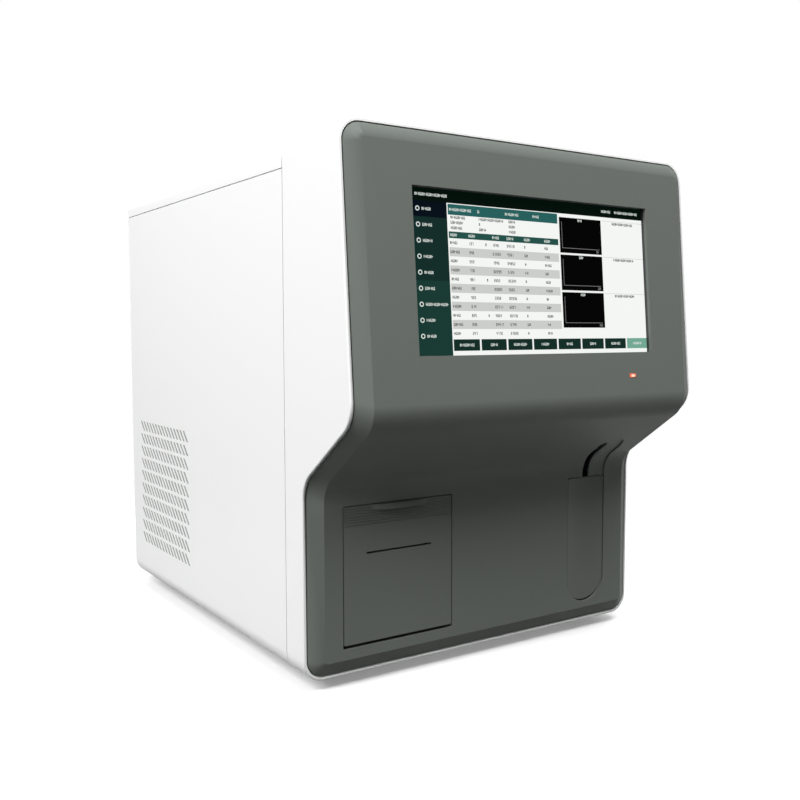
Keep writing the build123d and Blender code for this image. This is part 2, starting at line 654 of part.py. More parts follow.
def base_tray():
    """Floor with upturned sides, and a stepped rear edge that clears the covers' rounding."""
    back = REAR_Y - COVER_T - SHEET_T
    step = (REAR_Y - REAR_ROUND_R - SHEET_T, REAR_Y - REAR_ROUND_R)
    front = SEAM_Y - SEAM_DEPTH / 2
    x = (-TRAY_W / 2, TRAY_W / 2)
    rise = TRAY_Z + TRAY_FLANGE
    tray = span(x, (front, step[1]), (TRAY_Z, TRAY_Z + SHEET_T))
    tray += span(x, step, (TRAY_Z, rise))
    tray += span(x, (step[0], back), (rise - SHEET_T, rise))
    tray += span(x, (back - SHEET_T, back), (rise - SHEET_T, rise + TRAY_FLANGE / 2))
    for side in (-1, 1):
        edge = side * (TRAY_W - SHEET_T) / 2
        tray += span(around(edge, SHEET_T), (front, step[1]), (TRAY_Z, rise))
    for x in (-FOOT_X, FOOT_X):
        for y in FEET_Y:
            tray -= bar("z", (x, y), (TRAY_Z - 1, TRAY_Z + 2 * SHEET_T), SCREW_HOLE_R)
    return tray


def chassis_frame():
    low = TRAY_Z + SHEET_T
    front, rear = SEAM_Y + 4, REAR_Y - REAR_ROUND_R - 2 * SHEET_T
    wall = (DIVIDER_X, DIVIDER_X + FRAME_T)
    foot = (DIVIDER_X, DIVIDER_X + FRAME_FOOT)
    frame = span(wall, (front, rear), (low, FRAME_TOP))
    frame += span(foot, (front, rear), (low, low + FRAME_T))
    frame += span(foot, (front, rear), (FRAME_TOP - FRAME_T, FRAME_TOP))
    cross = (GANTRY_REAR_Y, GANTRY_REAR_Y + FRAME_T)
    frame += span((DIVIDER_X, BRACKET_X[1]), cross, (CROSS_LOW, BRACKET_TOP))
    frame -= bar("y", (RAIL_X, ADVANCE_Z), (cross[0] - 1, cross[1] + 1), ADVANCE_SCREW_R + 1)
    frame -= bar("x", (PUMP_Y, PUMP_Z), (DIVIDER_X - 1, DIVIDER_X + 4), PUMP_SHAFT_R + 1)
    window = around(RIM_Y + WINDOW_IN, WINDOW_L)
    height = (FRAME_TOP - WINDOW_DROP - WINDOW_H, FRAME_TOP - WINDOW_DROP)
    frame -= span((DIVIDER_X - 1, DIVIDER_X + 4), window, height)
    return frame


def rubber_feet():
    top = TRAY_Z
    feet = []
    for x in (-FOOT_X, FOOT_X):
        for y in FEET_Y:
            foot = Pos(x, y, top / 2) * Cone(FOOT_R - 1.5, FOOT_R, top)
            foot -= bar("z", (x, y), (-1, 4), FOOT_R / 2)
            foot -= bar("z", (x, y), (3, top + 1), SCREW_R)
            feet.append(foot)
    return feet


def screw(at, axis_out, length):
    """Pan head screw with its head on a surface at a point."""
    body = Pos(0, 0, SCREW_HEAD_T / 2) * Cylinder(SCREW_HEAD_R, SCREW_HEAD_T)
    body += Pos(0, 0, -length / 2) * Cylinder(SCREW_R, length)
    return Plane(at, z_dir=axis_out) * body


def case_screws():
    screws = []
    for x in TOP_SCREWS_X:
        screws.append(screw((x, REAR_Y, TOP_SCREW_Z), (0, 1, 0), SCREW_L))
    for z in SIDE_SCREWS_Z:
        for side in (-1, 1):
            screws.append(screw((side * SIDE_SCREW_X, REAR_Y, z), (0, 1, 0), SCREW_L))
    for x in (-FOOT_X, FOOT_X):
        for y in FEET_Y:
            screws.append(screw((x, y, 4 - 1), (0, 0, -1), TRAY_Z))
    return screws


def screen_frame():
    """Gasket frame between the panel and the touch screen."""
    step, flange = 2 * FRAME_STEP, 2 * FRAME_FLANGE
    frame = face_box(SCREEN_W + flange, SCREEN_H + flange, (FACE_T, SCREEN_DEPTH))
    return frame - face_box(SCREEN_W + step, SCREEN_H + step, (-1, SCREEN_DEPTH + 1))


def touch_screen():
    flange = 2 * FRAME_FLANGE
    return face_box(SCREEN_W + flange, SCREEN_H + flange, (SCREEN_DEPTH, GLASS_BACK))


def lcd_module():
    module = face_box(SCREEN_W + 2 * LCD_SIDE, SCREEN_H + 2 * LCD_END, (GLASS_BACK, LCD_BACK))
    depth = (LCD_BACK - LCD_PLUG_D, LCD_BACK + 1)
    return module - face_box(LCD_PLUG_W, LCD_PLUG_H, depth, SCREEN_X, SCREEN_DROP + LCD_PLUG_DROP)


def display_bracket():
    over = 2 * BRACKET_OVER
    bracket = face_box(BOSS_SPAN_X + over, BOSS_SPAN_Z + over, (LCD_BACK, LCD_BACK + FRAME_T))
    bracket -= face_box(BRACKET_HOLE_W, BRACKET_HOLE_H, (LCD_BACK - 1, LCD_BACK + 3), SCREEN_X, SCREEN_DROP)
    for x in (-1, 1):
        for along in (-1, 1):
            across = BOARD_X + x * BOARD_W * POST_SHARE_X
            spot = (across, SCREEN_DROP + along * BOARD_H * POST_SHARE_Z)
            depth = (LCD_BACK + FRAME_T + BOARD_DEPTH) / 2
            post = Cylinder(BOARD_POST_R, BOARD_DEPTH - LCD_BACK - FRAME_T)
            bracket += face_plane(*spot, UPPER_BEVEL_D - depth) * post
    return bracket


def control_board():
    back = BOARD_DEPTH + BOARD_T
    board = face_box(BOARD_W, BOARD_H, (BOARD_DEPTH, back), BOARD_X)
    side, tall, along = CHIP
    board += face_box(side, side, (back, back + tall), BOARD_X + along)
    length, wide, tall, along = PLUG_BLOCK
    return board + face_box(length, wide, (back, back + tall), BOARD_X + along, SCREEN_DROP + along)


def led_lens():
    lens = face_box(LED_W, LED_H, (-LED_PROUD, FACE_T + LED_L), LED_X, LED_DROP)
    flange = (FACE_T, FACE_T + LED_FLANGE_T)
    return lens + face_box(LED_W + LED_FLANGE, LED_H + LED_FLANGE, flange, LED_X, LED_DROP)


def led_board():
    depth = (FACE_T + LED_L, FACE_T + LED_L + BOARD_T)
    return face_box(LED_BOARD_W, LED_BOARD_H, depth, LED_X, LED_DROP)


def printer_door():
    x = (DOOR_SPAN_X[0] + DOOR_GAP, DOOR_SPAN_X[1] - DOOR_GAP)
    z = (DOOR_SPAN_Z[0] + DOOR_FOOT_GAP, DOOR_SPAN_Z[1] - DOOR_GAP)
    door = span(x, (FACE_Y, FACE_Y + DOOR_T), z)
    door = fillet(door.edges().filter_by(Axis.Y), DOOR_CORNER_R - DOOR_GAP / 2)
    for rib in range(RIB_COUNT):
        low = z[1] - (rib + 1) * RIB_PITCH
        door -= span((x[0] - 1, x[1] + 1), (FACE_Y - 1, FACE_Y + RIB_D), (low, low + RIB_W))
    radius = (TAB_W ** 2 / 4 + TAB_REACH ** 2) / (2 * TAB_REACH)
    disc = Pos(DOOR_X, FACE_Y - TAB_REACH + radius, z[1] - TAB_T / 2) * Cylinder(radius, TAB_T)
    door += disc & span(x, (FACE_Y - TAB_REACH, FACE_Y + 1), z)
    slot = around(RIM_Z + PAPER_SLOT_UP, PAPER_SLOT_H)
    door -= span(around(DOOR_X, PAPER_SLOT_W), (FACE_Y - 1, FACE_Y + DOOR_T + 1), slot)
    for side in (-1, 1):
        edge = x[0] if side < 0 else x[1]
        reach = sorted((edge, edge - side * KNUCKLE_L))
        door += bar("x", (HINGE_Y, HINGE_Z), reach, KNUCKLE_R)
        latch = around(DOOR_X + side * 30, 8)
        door += span(latch, (FACE_Y + DOOR_T, FACE_Y + DOOR_T + 5), (z[1] - 10, z[1] - 6))
    return door - bar("x", (HINGE_Y, HINGE_Z), (x[0] - 1, x[1] + 1), HINGE_PIN_R + RUN_FIT)


def door_hinge_pins():
    inner = DOOR_W / 2 - DOOR_GAP - KNUCKLE_L + 1
    outer = DOOR_W / 2 + BUCKET_FIT + BUCKET_T
    left = bar("x", (HINGE_Y, HINGE_Z), (DOOR_X - outer, DOOR_X - inner), HINGE_PIN_R)
    right = bar("x", (HINGE_Y, HINGE_Z), (DOOR_X + inner, DOOR_X + outer), HINGE_PIN_R)
    return [left, right]


def printer_bucket():
    front = FACE_Y + PANEL_T
    half = DOOR_W / 2 + BUCKET_FIT
    z = (DOOR_SPAN_Z[0] - BUCKET_FIT, DOOR_SPAN_Z[1] + BUCKET_FIT)
    wall = BUCKET_T
    deep = (front, front + BUCKET_DEPTH)
    bucket = span(around(DOOR_X, 2 * (half + wall)), deep, (z[0] - wall, z[1] + wall))
    bucket -= span(around(DOOR_X, 2 * half), (front - 1, front + BUCKET_DEPTH - wall), z)
    reach = (DOOR_X - FAR, DOOR_X + FAR)
    bucket -= bar("x", (HINGE_Y, HINGE_Z), reach, HINGE_PIN_R)
    return bucket - bar("x", (ROLL_Y, ROLL_Z), reach, ROLL_CORE_R - RUN_FIT)


def roll_spindle():
    half = DOOR_W / 2 + BUCKET_FIT + BUCKET_T
    return bar("x", (ROLL_Y, ROLL_Z), around(DOOR_X, 2 * half), ROLL_CORE_R - RUN_FIT)


def paper_roll():
    return bar("x", (ROLL_Y, ROLL_Z), around(DOOR_X, ROLL_W), ROLL_R, ROLL_CORE_R)


def platen_roller():
    roller = bar("x", (PLATEN_Y, PLATEN_Z), around(DOOR_X, ROLL_W + 1), PLATEN_R)
    return roller + bar("x", (PLATEN_Y, PLATEN_Z), around(DOOR_X, ROLL_W + 16), PLATEN_SHAFT_R)


def print_head():
    half = DOOR_W / 2 + BUCKET_FIT
    beam_y = (PLATEN_Y + PLATEN_R + 4, PLATEN_Y + PLATEN_R + 8)
    head = span(around(DOOR_X, 2 * half), beam_y, around(PLATEN_Z, 14))
    head += span(around(DOOR_X, ROLL_W - 2), (PLATEN_Y + PLATEN_R + 0.3, beam_y[0]), around(PLATEN_Z, 5))
    for side in (-1, 1):
        cheek = around(DOOR_X + side * (ROLL_W / 2 + 4.5), 3)
        head += span(cheek, (PLATEN_Y - 5, beam_y[1]), around(PLATEN_Z, 14))
    return head - bar("x", (PLATEN_Y, PLATEN_Z), around(DOOR_X, ROLL_W + 30), PLATEN_SHAFT_R + RUN_FIT)


def aspirate_key():
    front = KEY_FRONT_Y
    key = key_opening(KEY_GAP, (front, front + KEY_T))
    width = CHANNEL_W - 2 * KEY_GAP
    radius = (width ** 2 / 4 + KEY_DISH ** 2) / (2 * KEY_DISH)
    key -= bar("z", (KEY_X, front + KEY_DISH - radius), (0, FAR), radius)
    for z in KEY_STEMS_Z:
        key += bar("y", (KEY_X, z), (front + KEY_T - 1, front + KEY_T + KEY_STEM_L), KEY_STEM_R)
    return key


def key_guide():
    plate = (KEY_GUIDE_Y, KEY_GUIDE_Y + 2.5)
    wide = CHANNEL_W + 16
    guide = span(around(KEY_X, wide), plate, KEY_GUIDE_Z)
    for side in (-1, 1):
        post = around(KEY_X + side * (wide / 2 - 2), 4)
        guide += span(post, (FACE_Y + PANEL_T, plate[0]), KEY_GUIDE_Z)
    for z in KEY_STEMS_Z:
        guide -= bar("y", (KEY_X, z), (plate[0] - 1, plate[1] + 1), KEY_STEM_R + RUN_FIT)
    at = (KEY_X, sum(KEY_STEMS_Z) / 2)
    return guide - bar("y", at, (plate[0] - 1, plate[1] + 1), SWITCH_PLUNGER_R + FIT)


def key_switch():
    """Switch whose plunger stands through the guide, just behind the pressed key."""
    low = KEY_GUIDE_Y + 2.5
    z = sum(KEY_STEMS_Z) / 2
    switch = span(around(KEY_X, 20), (low, low + 6.5), around(z, 11))
    return switch + bar("y", (KEY_X, z), (KEY_GUIDE_Y - 0.3, low + 1), SWITCH_PLUNGER_R)


def sample_probe():
    return bar("z", (KEY_X, PROBE_Y), (PROBE_TIP_Z, HOLDER_Z[1] + 5), PROBE_R, PROBE_R / 2)


def probe_holder():
    x = around(KEY_X, HOLDER_W)
    holder = span(x, (PROBE_Y - 4, DROP_SCREW_Y + 5), HOLDER_Z)
    holder -= bar("z", (KEY_X, PROBE_Y), (0, FAR), PROBE_R)
    holder -= bar("z", (KEY_X, DROP_ROD_Y), (0, FAR), DROP_ROD_R + RUN_FIT)
    return holder - bar("z", (KEY_X, DROP_SCREW_Y), (0, FAR), DROP_ROD_R + RUN_FIT)


def wash_block():
    z = (CARRIAGE_Z[0], CARRIAGE_Z[0] + 10)
    block = bar("z", (KEY_X, PROBE_Y), z, 5)
    block += span((KEY_X, CARRIAGE_X[0]), around(PROBE_Y, 8), z)
    return block - bar("z", (KEY_X, PROBE_Y), (0, FAR), PROBE_R + 0.4)


def probe_carriage():
    y = (PROBE_Y - 4, DROP_SCREW_Y + 7)
    carriage = span(CARRIAGE_X, y, CARRIAGE_Z)
    lug_x = (KEY_X - HOLDER_W / 2, CARRIAGE_X[1])
    lug_y = (DROP_ROD_Y - 5, y[1])
    carriage += span(lug_x, lug_y, (CARRIAGE_Z[0], CARRIAGE_Z[0] + 4))
    carriage += span(lug_x, lug_y, (CARRIAGE_Z[1] - 3, CARRIAGE_Z[1]))
    carriage += span((CARRIAGE_X[1], RAIL_X + 12), y, (RAILS_Z[0] - 10, RAILS_Z[1] + 10))
    carriage -= bar("z", (KEY_X, DROP_SCREW_Y), (0, FAR), DROP_ROD_R + RUN_FIT)
    carriage += bar("z", (KEY_X, DROP_ROD_Y), CARRIAGE_Z, DROP_ROD_R)
    for z in RAILS_Z:
        carriage -= bar("y", (RAIL_X, z), (-FAR, FAR), RAIL_R + RUN_FIT)
    return carriage - bar("y", (RAIL_X, ADVANCE_Z), (-FAR, FAR), ADVANCE_SCREW_R + RUN_FIT)


def drop_screw():
    return bar("z", (KEY_X, DROP_SCREW_Y), (CARRIAGE_Z[0], CARRIAGE_Z[1] + 8), DROP_ROD_R)


def drop_motor():
    z = (CARRIAGE_Z[1], CARRIAGE_Z[1] + 22)
    motor = span(around(KEY_X, MOTOR_W), around(DROP_SCREW_Y, MOTOR_W), z)
    return motor - bar("z", (KEY_X, DROP_SCREW_Y), (z[0] - 1, z[0] + 9), DROP_ROD_R + RUN_FIT)


def gantry_bracket():
    y = (GANTRY_FRONT_Y, GANTRY_REAR_Y)
    bracket = span(BRACKET_X, y, (BRACKET_TOP - 2, BRACKET_TOP))
    for lug in ((y[0], y[0] + 3), (y[1] - 3, y[1])):
        bracket += span(BRACKET_X, lug, (RAILS_Z[0] - 10, BRACKET_TOP))
    for z in RAILS_Z:
        bracket -= bar("y", (RAIL_X, z), (-FAR, FAR), RAIL_R)
    return bracket - bar("y", (RAIL_X, ADVANCE_Z), (-FAR, FAR), ADVANCE_SCREW_R + RUN_FIT)


def gantry_rods():
    return [bar("y", (RAIL_X, z), (GANTRY_FRONT_Y, GANTRY_REAR_Y), RAIL_R) for z in RAILS_Z]


def advance_screw():
    y = (GANTRY_FRONT_Y, GANTRY_REAR_Y + FRAME_T + 8)
    return bar("y", (RAIL_X, ADVANCE_Z), y, ADVANCE_SCREW_R)


def advance_motor():
    y = (GANTRY_REAR_Y + FRAME_T, GANTRY_REAR_Y + FRAME_T + 30)
    motor = span(around(RAIL_X, MOTOR_W - 5), y, around(ADVANCE_Z, MOTOR_W))
    return motor - bar("y", (RAIL_X, ADVANCE_Z), (y[0] - 1, y[0] + 9), ADVANCE_SCREW_R + RUN_FIT)


def shield_box():
    low = TRAY_Z + SHEET_T
    x = around(KEY_X, SHIELD_W)
    box = span(x, SHIELD_Y, (low, SHIELD_TOP))
    inside_y = (SHIELD_Y[0] + FRAME_T, SHIELD_Y[1] - FRAME_T)
    box -= span((x[0] + FRAME_T, x[1] + 1), inside_y, (low + FRAME_T, SHIELD_TOP - FRAME_T))
    shelf = (BATH_LOW - FRAME_T, BATH_LOW)
    box += span(x, (SHIELD_Y[0] + FRAME_T / 2, SHIELD_Y[1] - FRAME_T / 2), shelf)
    for y in BATHS_Y:
        box -= bar("z", (KEY_X, y), (SHIELD_TOP - 3, SHIELD_TOP + 1), BATH_R - 3)
        box -= bar("z", (KEY_X, y), (BATH_LOW - 3, BATH_LOW + 1), 5)
    return box


def counting_bath(y):
    """Cup with a drain spout and the aperture's electrode boss on its side."""
    top = BATH_LOW + BATH_H
    bath = bar("z", (KEY_X, y), (BATH_LOW, top), BATH_R)
    bath += bar("z", (KEY_X, y), (BATH_LOW - 12, BATH_LOW), 4)
    bath += bar("x", (y, BATH_LOW + 12), (KEY_X, KEY_X + BATH_R + 8), 5)
    bath -= bar("z", (KEY_X, y), (BATH_LOW + 12, top + 1), BATH_R - 2.5)
    bath -= Pos(KEY_X, y, BATH_LOW + 8) * Cone(1.5, BATH_R - 2.5, 8)
    return bath - bar("z", (KEY_X, y), (BATH_LOW - 13, BATH_LOW + 5), 1.5)


def syringe_block():
    plate = (DIVIDER_X + FRAME_T, DIVIDER_X + FRAME_T + 3)
    block = span(plate, around(SYRINGE_Y, 62), (SYRINGE_MOTOR_TOP - 4, BARREL_TOP + 12))
    shelf = (plate[1], SYRINGE_X + 12)
    block += span(shelf, around(SYRINGE_Y, 54), (BARREL_TOP, BARREL_TOP + 12))
    block += span(shelf, around(SYRINGE_Y, 54), (SYRINGE_MOTOR_TOP - 4, SYRINGE_MOTOR_TOP))
    for offset, radius in BARRELS:
        block -= bar("z", (SYRINGE_X, SYRINGE_Y + offset), (BARREL_TOP + 6, BARREL_TOP + 13), 2)
    return block - bar("z", (SYRINGE_X, SYRINGE_Y), (0, BARREL_TOP - 1), SYRINGE_SCREW_R + RUN_FIT)


def syringe_barrels():
    z = (BARREL_TOP - BARREL_L, BARREL_TOP)
    return [bar("z", (SYRINGE_X, SYRINGE_Y + offset), z, radius + 2, radius) for offset, radius in BARRELS]


def syringe_plungers():
    """Two plungers on one crossbar that the screw carries up and down."""
    bar_z = (CROSSBAR_Z, CROSSBAR_Z + 8)
    plungers = span(around(SYRINGE_X, 16), around(SYRINGE_Y, 46), bar_z)
    for offset, radius in BARRELS:
        at = (SYRINGE_X, SYRINGE_Y + offset)
        plungers += bar("z", at, (bar_z[1] - 1, PISTON_Z), radius / 2)
        plungers += bar("z", at, (PISTON_Z, PISTON_Z + 10), radius - RUN_FIT)
    return plungers - bar("z", (SYRINGE_X, SYRINGE_Y), (0, bar_z[1] + 1), SYRINGE_SCREW_R + RUN_FIT)


def syringe_screw():
    return bar("z", (SYRINGE_X, SYRINGE_Y), (SYRINGE_MOTOR_TOP - 12, CROSSBAR_Z + 16), SYRINGE_SCREW_R)


def syringe_motor():
    top = SYRINGE_MOTOR_TOP - 4
    motor = span(around(SYRINGE_X, 24), around(SYRINGE_Y, MOTOR_W), (top - 26, top))
    return motor - bar("z", (SYRINGE_X, SYRINGE_Y), (top - 9, top + 1), SYRINGE_SCREW_R + RUN_FIT)


def pump_head():
    wall = DIVIDER_X + FRAME_T
    head = bar("x", (PUMP_Y, PUMP_Z), (wall, wall + 24), PUMP_R)
    head -= bar("x", (PUMP_Y, PUMP_Z), (wall + 4, wall + 25), PUMP_R - 5)
    return head - bar("x", (PUMP_Y, PUMP_Z), (wall - 1, wall + 5), PUMP_SHAFT_R + 1)


def pump_rotor():
    """Three rollers between two discs on the motor's shaft."""
    wall = DIVIDER_X + FRAME_T + 5
    rotor = bar("x", (PUMP_Y, PUMP_Z), (DIVIDER_X - 10, wall + 18), PUMP_SHAFT_R)
    for low in (wall, wall + 16):
        rotor += bar("x", (PUMP_Y, PUMP_Z), (low, low + 2), PUMP_R - 13)
    for turn in range(3):
        spot = Vector(0, PUMP_R - 13.5, 0).rotate(Axis.X, 120 * turn)
        rotor += bar("x", (PUMP_Y + spot.Y, PUMP_Z + spot.Z), (wall, wall + 18), 5)
    return rotor


def pump_motor():
    motor = bar("x", (PUMP_Y, PUMP_Z), (DIVIDER_X - 42, DIVIDER_X), 16)
    return motor - bar("x", (PUMP_Y, PUMP_Z), (DIVIDER_X - 12, DIVIDER_X + 1), PUMP_SHAFT_R + RUN_FIT)


def valve_bank():
    """Manifold with two rows of solenoid valves, seated on the divider."""
    wall = DIVIDER_X + FRAME_T
    seat = wall + MANIFOLD_T
    bank = [span((wall, seat), around(VALVES_Y, MANIFOLD_L), around(VALVES_Z, MANIFOLD_H))]
    for row in (-1, 1):
        for column in range(VALVE_COLUMNS):
            y = VALVES_Y + (column - (VALVE_COLUMNS - 1) / 2) * VALVE_PITCH
            z = VALVES_Z + row * VALVE_ROWS_APART / 2
            bank.append(bar("x", (y, z), (seat, seat + VALVE_L), VALVE_R))
    return bank


def waste_chamber():
    low = TRAY_Z + SHEET_T
    top = low + CHAMBER_H
    chamber = bar("z", (CHAMBER_X, CHAMBER_Y), (low, top), CHAMBER_R)
    inner = CHAMBER_R - CHAMBER_WALL
    chamber -= bar("z", (CHAMBER_X, CHAMBER_Y), (low + CHAMBER_FLOOR, top - CHAMBER_LID), inner)
    for side in (-1, 1):
        at = (CHAMBER_X + side * CHAMBER_SPOUTS_APART / 2, CHAMBER_Y)
        chamber += bar("z", at, (top, top + CHAMBER_SPOUT_L), HOSE_STEM_R)
    return chamber


def main_board():
    back = DIVIDER_X - STANDOFF_L
    face = back - BOARD_T
    low, high = MAIN_BOARD_Z
    board = span((face, back), around(BOARD_Y, MAIN_BOARD_L), (low, high))
    reach = MAIN_BOARD_L / 2 - STANDOFF_IN
    for y in (BOARD_Y - reach, BOARD_Y + reach):
        for z in (low + STANDOFF_IN, high - STANDOFF_IN):
            board += bar("x", (y, z), (back, DIVIDER_X), STANDOFF_R)
    for along, length, rise, height, thick in BOARD_BLOCKS:
        z = (low + rise, low + rise + height)
        board += span((face - thick, face), around(BOARD_Y + along, length), z)
    return board


def power_supply():
    low = TRAY_Z + SHEET_T
    top = low + SUPPLY_H
    supply = span(around(SUPPLY_X, SUPPLY_W), SUPPLY_Y, (low, top))
    slots = []
    for column in range(SUPPLY_SLOTS):
        y = SUPPLY_Y[0] + SUPPLY_SLOT_IN + column * SUPPLY_SLOT_PITCH
        z = (top - SUPPLY_SLOT_D, top + 1)
        slots.append(span(around(SUPPLY_X, SUPPLY_SLOT_L), (y, y + SUPPLY_SLOT_W), z))
    return supply - slots


def fan_frame():
    inner = REAR_Y - COVER_T - SHEET_T
    y = (inner - FAN_T, inner)
    frame = span(around(FAN_X, FAN_W), y, around(FAN_Z, FAN_W))
    frame -= bar("y", (FAN_X, FAN_Z), (y[0] - 1, y[1] + 1), FAN_BORE_R)
    hub = (y[0] + 0.5, y[0] + 3)
    frame += bar("y", (FAN_X, FAN_Z), hub, 14)
    frame += span(around(FAN_X, FAN_W - 4), hub, around(FAN_Z, 4))
    frame += span(around(FAN_X, 4), hub, around(FAN_Z, FAN_W - 4))
    frame += bar("y", (FAN_X, FAN_Z), (y[0] + 3, y[0] + 14), FAN_PIN_R)
    for x, z in FAN_SCREWS:
        frame -= bar("y", (x, z), (y[0] - 1, y[1] + 1), SCREW_R)
    return frame


def fan_rotor():
    front = REAR_Y - COVER_T - SHEET_T - FAN_T + 4
    rotor = bar("y", (FAN_X, FAN_Z), (front, front + 16), FAN_HUB_R)
    middle = (FAN_BORE_R + FAN_HUB_R) / 2 - 1.5
    blade = Pos(0, 0, middle) * Rot(0, 0, BLADE_PITCH) * Box(BLADE_W, BLADE_T, FAN_BORE_R - FAN_HUB_R)
    for turn in range(FAN_BLADES):
        rotor += Pos(FAN_X, front + 8, FAN_Z) * Rot(0, 360 / FAN_BLADES * turn, 0) * blade
    return rotor - bar("y", (FAN_X, FAN_Z), (front - 1, front + 12), FAN_PIN_R + RUN_FIT)


def fan_guard():
    """Wire guard over the fan's outlet, held by the fan's four screws."""
    plane_y = REAR_Y - COVER_T + GUARD_WIRE_R
    guard = None
    for radius in GUARD_RINGS_R:
        ring = Pos(FAN_X, plane_y, FAN_Z) * Rot(90, 0, 0) * Torus(radius, GUARD_WIRE_R)
        guard = ring if guard is None else guard + ring
    reach = FAN_PITCH * sqrt(2) + 8
    for turn in (45, -45):
        spoke = Rot(0, turn, 0) * Box(reach, 2 * GUARD_WIRE_R, 2 * GUARD_WIRE_R)
        guard += Pos(FAN_X, plane_y, FAN_Z) * spoke
    for x, z in FAN_SCREWS:
        guard += bar("y", (x, z), (REAR_Y - COVER_T, plane_y + GUARD_WIRE_R), 4)
        guard -= bar("y", (x, z), (REAR_Y - COVER_T - 1, REAR_Y), SCREW_R)
    return guard


def inlet_socket():
    """Mains inlet with its three pins, and the rocker switch's well above it."""
    seat = REAR_Y - COVER_T
    body = span(around(INLET_X, INLET_W - 0.4), (seat - 32, seat), around(INLET_Z, INLET_H - 0.4))
    body += span(around(INLET_X, INLET_W + 8), (seat, seat + 3), around(INLET_Z, INLET_H + 8))
    body -= span(around(INLET_X, 24), (seat - 15, seat + 4), around(PLUG_Z, 16))
    body -= span(around(INLET_X, ROCKER_W + 1), (seat - 14, seat + 4), around(ROCKER_Z, ROCKER_H + 2.4))
    for x, z in ((-7, -1), (7, -1), (0, 3)):
        body += span(around(INLET_X + x, 2), (seat - 16, seat - 1), around(PLUG_Z + z, 4))
    return body


def power_rocker():
    outline = [(-4, -5), (5.5, -8), (3.2, 0), (2.2, 8.4), (-4, 5)]
    outline = [(ROCKER_Y + y, ROCKER_Z + z) for y, z in outline]
    rocker = slab(make_face(Polyline(*outline, outline[0]).edges()), around(INLET_X, ROCKER_W))
    return rocker - bar("x", (ROCKER_Y, ROCKER_Z), around(INLET_X, ROCKER_W + 4), 1.5 + RUN_FIT)


def rocker_pin():
    return bar("x", (ROCKER_Y, ROCKER_Z), around(INLET_X, ROCKER_W + 1), 1.5)


def data_sockets():
    seat = REAR_Y - COVER_T
    height = around(SOCKETS_Z, SOCKETS_H - 0.6)
    body = span(around(SOCKETS_X, SOCKETS_W - 0.6), (seat - 18, seat + 1), height)
    body -= span(around(SOCKETS_X - 18, 11.8), (seat - 12, seat + 2), around(SOCKETS_Z, 8.2))
    for x in (0, 17):
        body -= span(around(SOCKETS_X + x, 12.6), (seat - 13, seat + 2), around(SOCKETS_Z, 5.6))
        body += span(around(SOCKETS_X + x, 11), (seat - 14, seat - 1), (SOCKETS_Z, SOCKETS_Z + 1.8))
    return body


def hose_fittings():
    """Bulkhead fittings, each with its flange outside and its nut inside."""
    seat = REAR_Y - COVER_T
    end = DEPTH / 2
    fittings = []
    for z in FITTINGS_Z:
        at = (FITTING_X, z)
        body = bar("y", at, (seat - 14, seat), FITTING_THREAD_R)
        body += bar("y", at, (seat, seat + 4), FITTING_THREAD_R + 2.5)
        body += bar("y", at, (seat + 4, end), HOSE_STEM_R)
        body -= bar("y", at, (seat - 15, end + 1), HOSE_STEM_R - 1.2)
        hexagon = Plane.XZ * RegularPolygon(FITTING_THREAD_R + 3, 6)
        nut = Pos(FITTING_X, seat - SHEET_T - 5, z) * extrude(hexagon, -5)
        nut -= bar("y", at, (seat - 20, seat), FITTING_THREAD_R)
        fittings += [body, nut]
    return fittings


NODES = {
    "front_panel": front_panel,
    "front_shell": front_shell,
    "top_cover": top_cover,
    "left_side_panel": lambda: side_cover() - vent_slots(),
    "right_side_panel": lambda: mirror(side_cover(), Plane.YZ),
    "rear_panel": rear_panel,
    "base_tray": base_tray,
    "chassis_frame": chassis_frame,
    "rubber_feet": rubber_feet,
    "case_screws": case_screws,
    "screen_frame": screen_frame,
    "touch_screen": touch_screen,
    "lcd_module": lcd_module,
    "display_bracket": display_bracket,
    "control_board": control_board,
    "led_lens": led_lens,
    "led_board": led_board,
    "printer_door": printer_door,
    "door_hinge_pins": door_hinge_pins,
    "printer_bucket": printer_bucket,
    "roll_spindle": roll_spindle,
    "paper_roll": paper_roll,
    "platen_roller": platen_roller,
    "print_head": print_head,
    "aspirate_key": aspirate_key,
    "key_guide": key_guide,
    "key_switch": key_switch,
    "sample_probe": sample_probe,
    "probe_holder": probe_holder,
    "wash_block": wash_block,
    "probe_carriage": probe_carriage,
    "drop_screw": drop_screw,
    "drop_motor": drop_motor,
    "gantry_bracket": gantry_bracket,
    "gantry_rods": gantry_rods,
    "advance_screw": advance_screw,
    "advance_motor": advance_motor,
    "shield_box": shield_box,
    "white_cell_bath": lambda: counting_bath(BATHS_Y[0]),
    "red_cell_bath": lambda: counting_bath(BATHS_Y[1]),
    "syringe_block": syringe_block,
    "syringe_barrels": syringe_barrels,
    "syringe_plungers": syringe_plungers,
    "syringe_screw": syringe_screw,
    "syringe_motor": syringe_motor,
    "pump_head": pump_head,
    "pump_rotor": pump_rotor,
    "pump_motor": pump_motor,
    "valve_bank": valve_bank,
    "waste_chamber": waste_chamber,
    "main_board": main_board,
    "power_supply": power_supply,
    "fan_frame": fan_frame,
    "fan_rotor": fan_rotor,
    "fan_guard": fan_guard,
    "inlet_socket": inlet_socket,
    "power_rocker": power_rocker,
    "rocker_pin": rocker_pin,
    "data_sockets": data_sockets,
    "hose_fittings": hose_fittings,
}

if __name__ == "__main__":
    os.makedirs("parts", exist_ok=True)
    for name, make in NODES.items():
        made = make()
        if isinstance(made, list):
            made = Compound(children=[solid for piece in made for solid in piece.solids()])
        export_step(made, f"parts/{name}.step")
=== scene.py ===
import json
import logging
import math
from collections.abc import Callable
from dataclasses import dataclass, field, replace
from enum import Enum, IntEnum

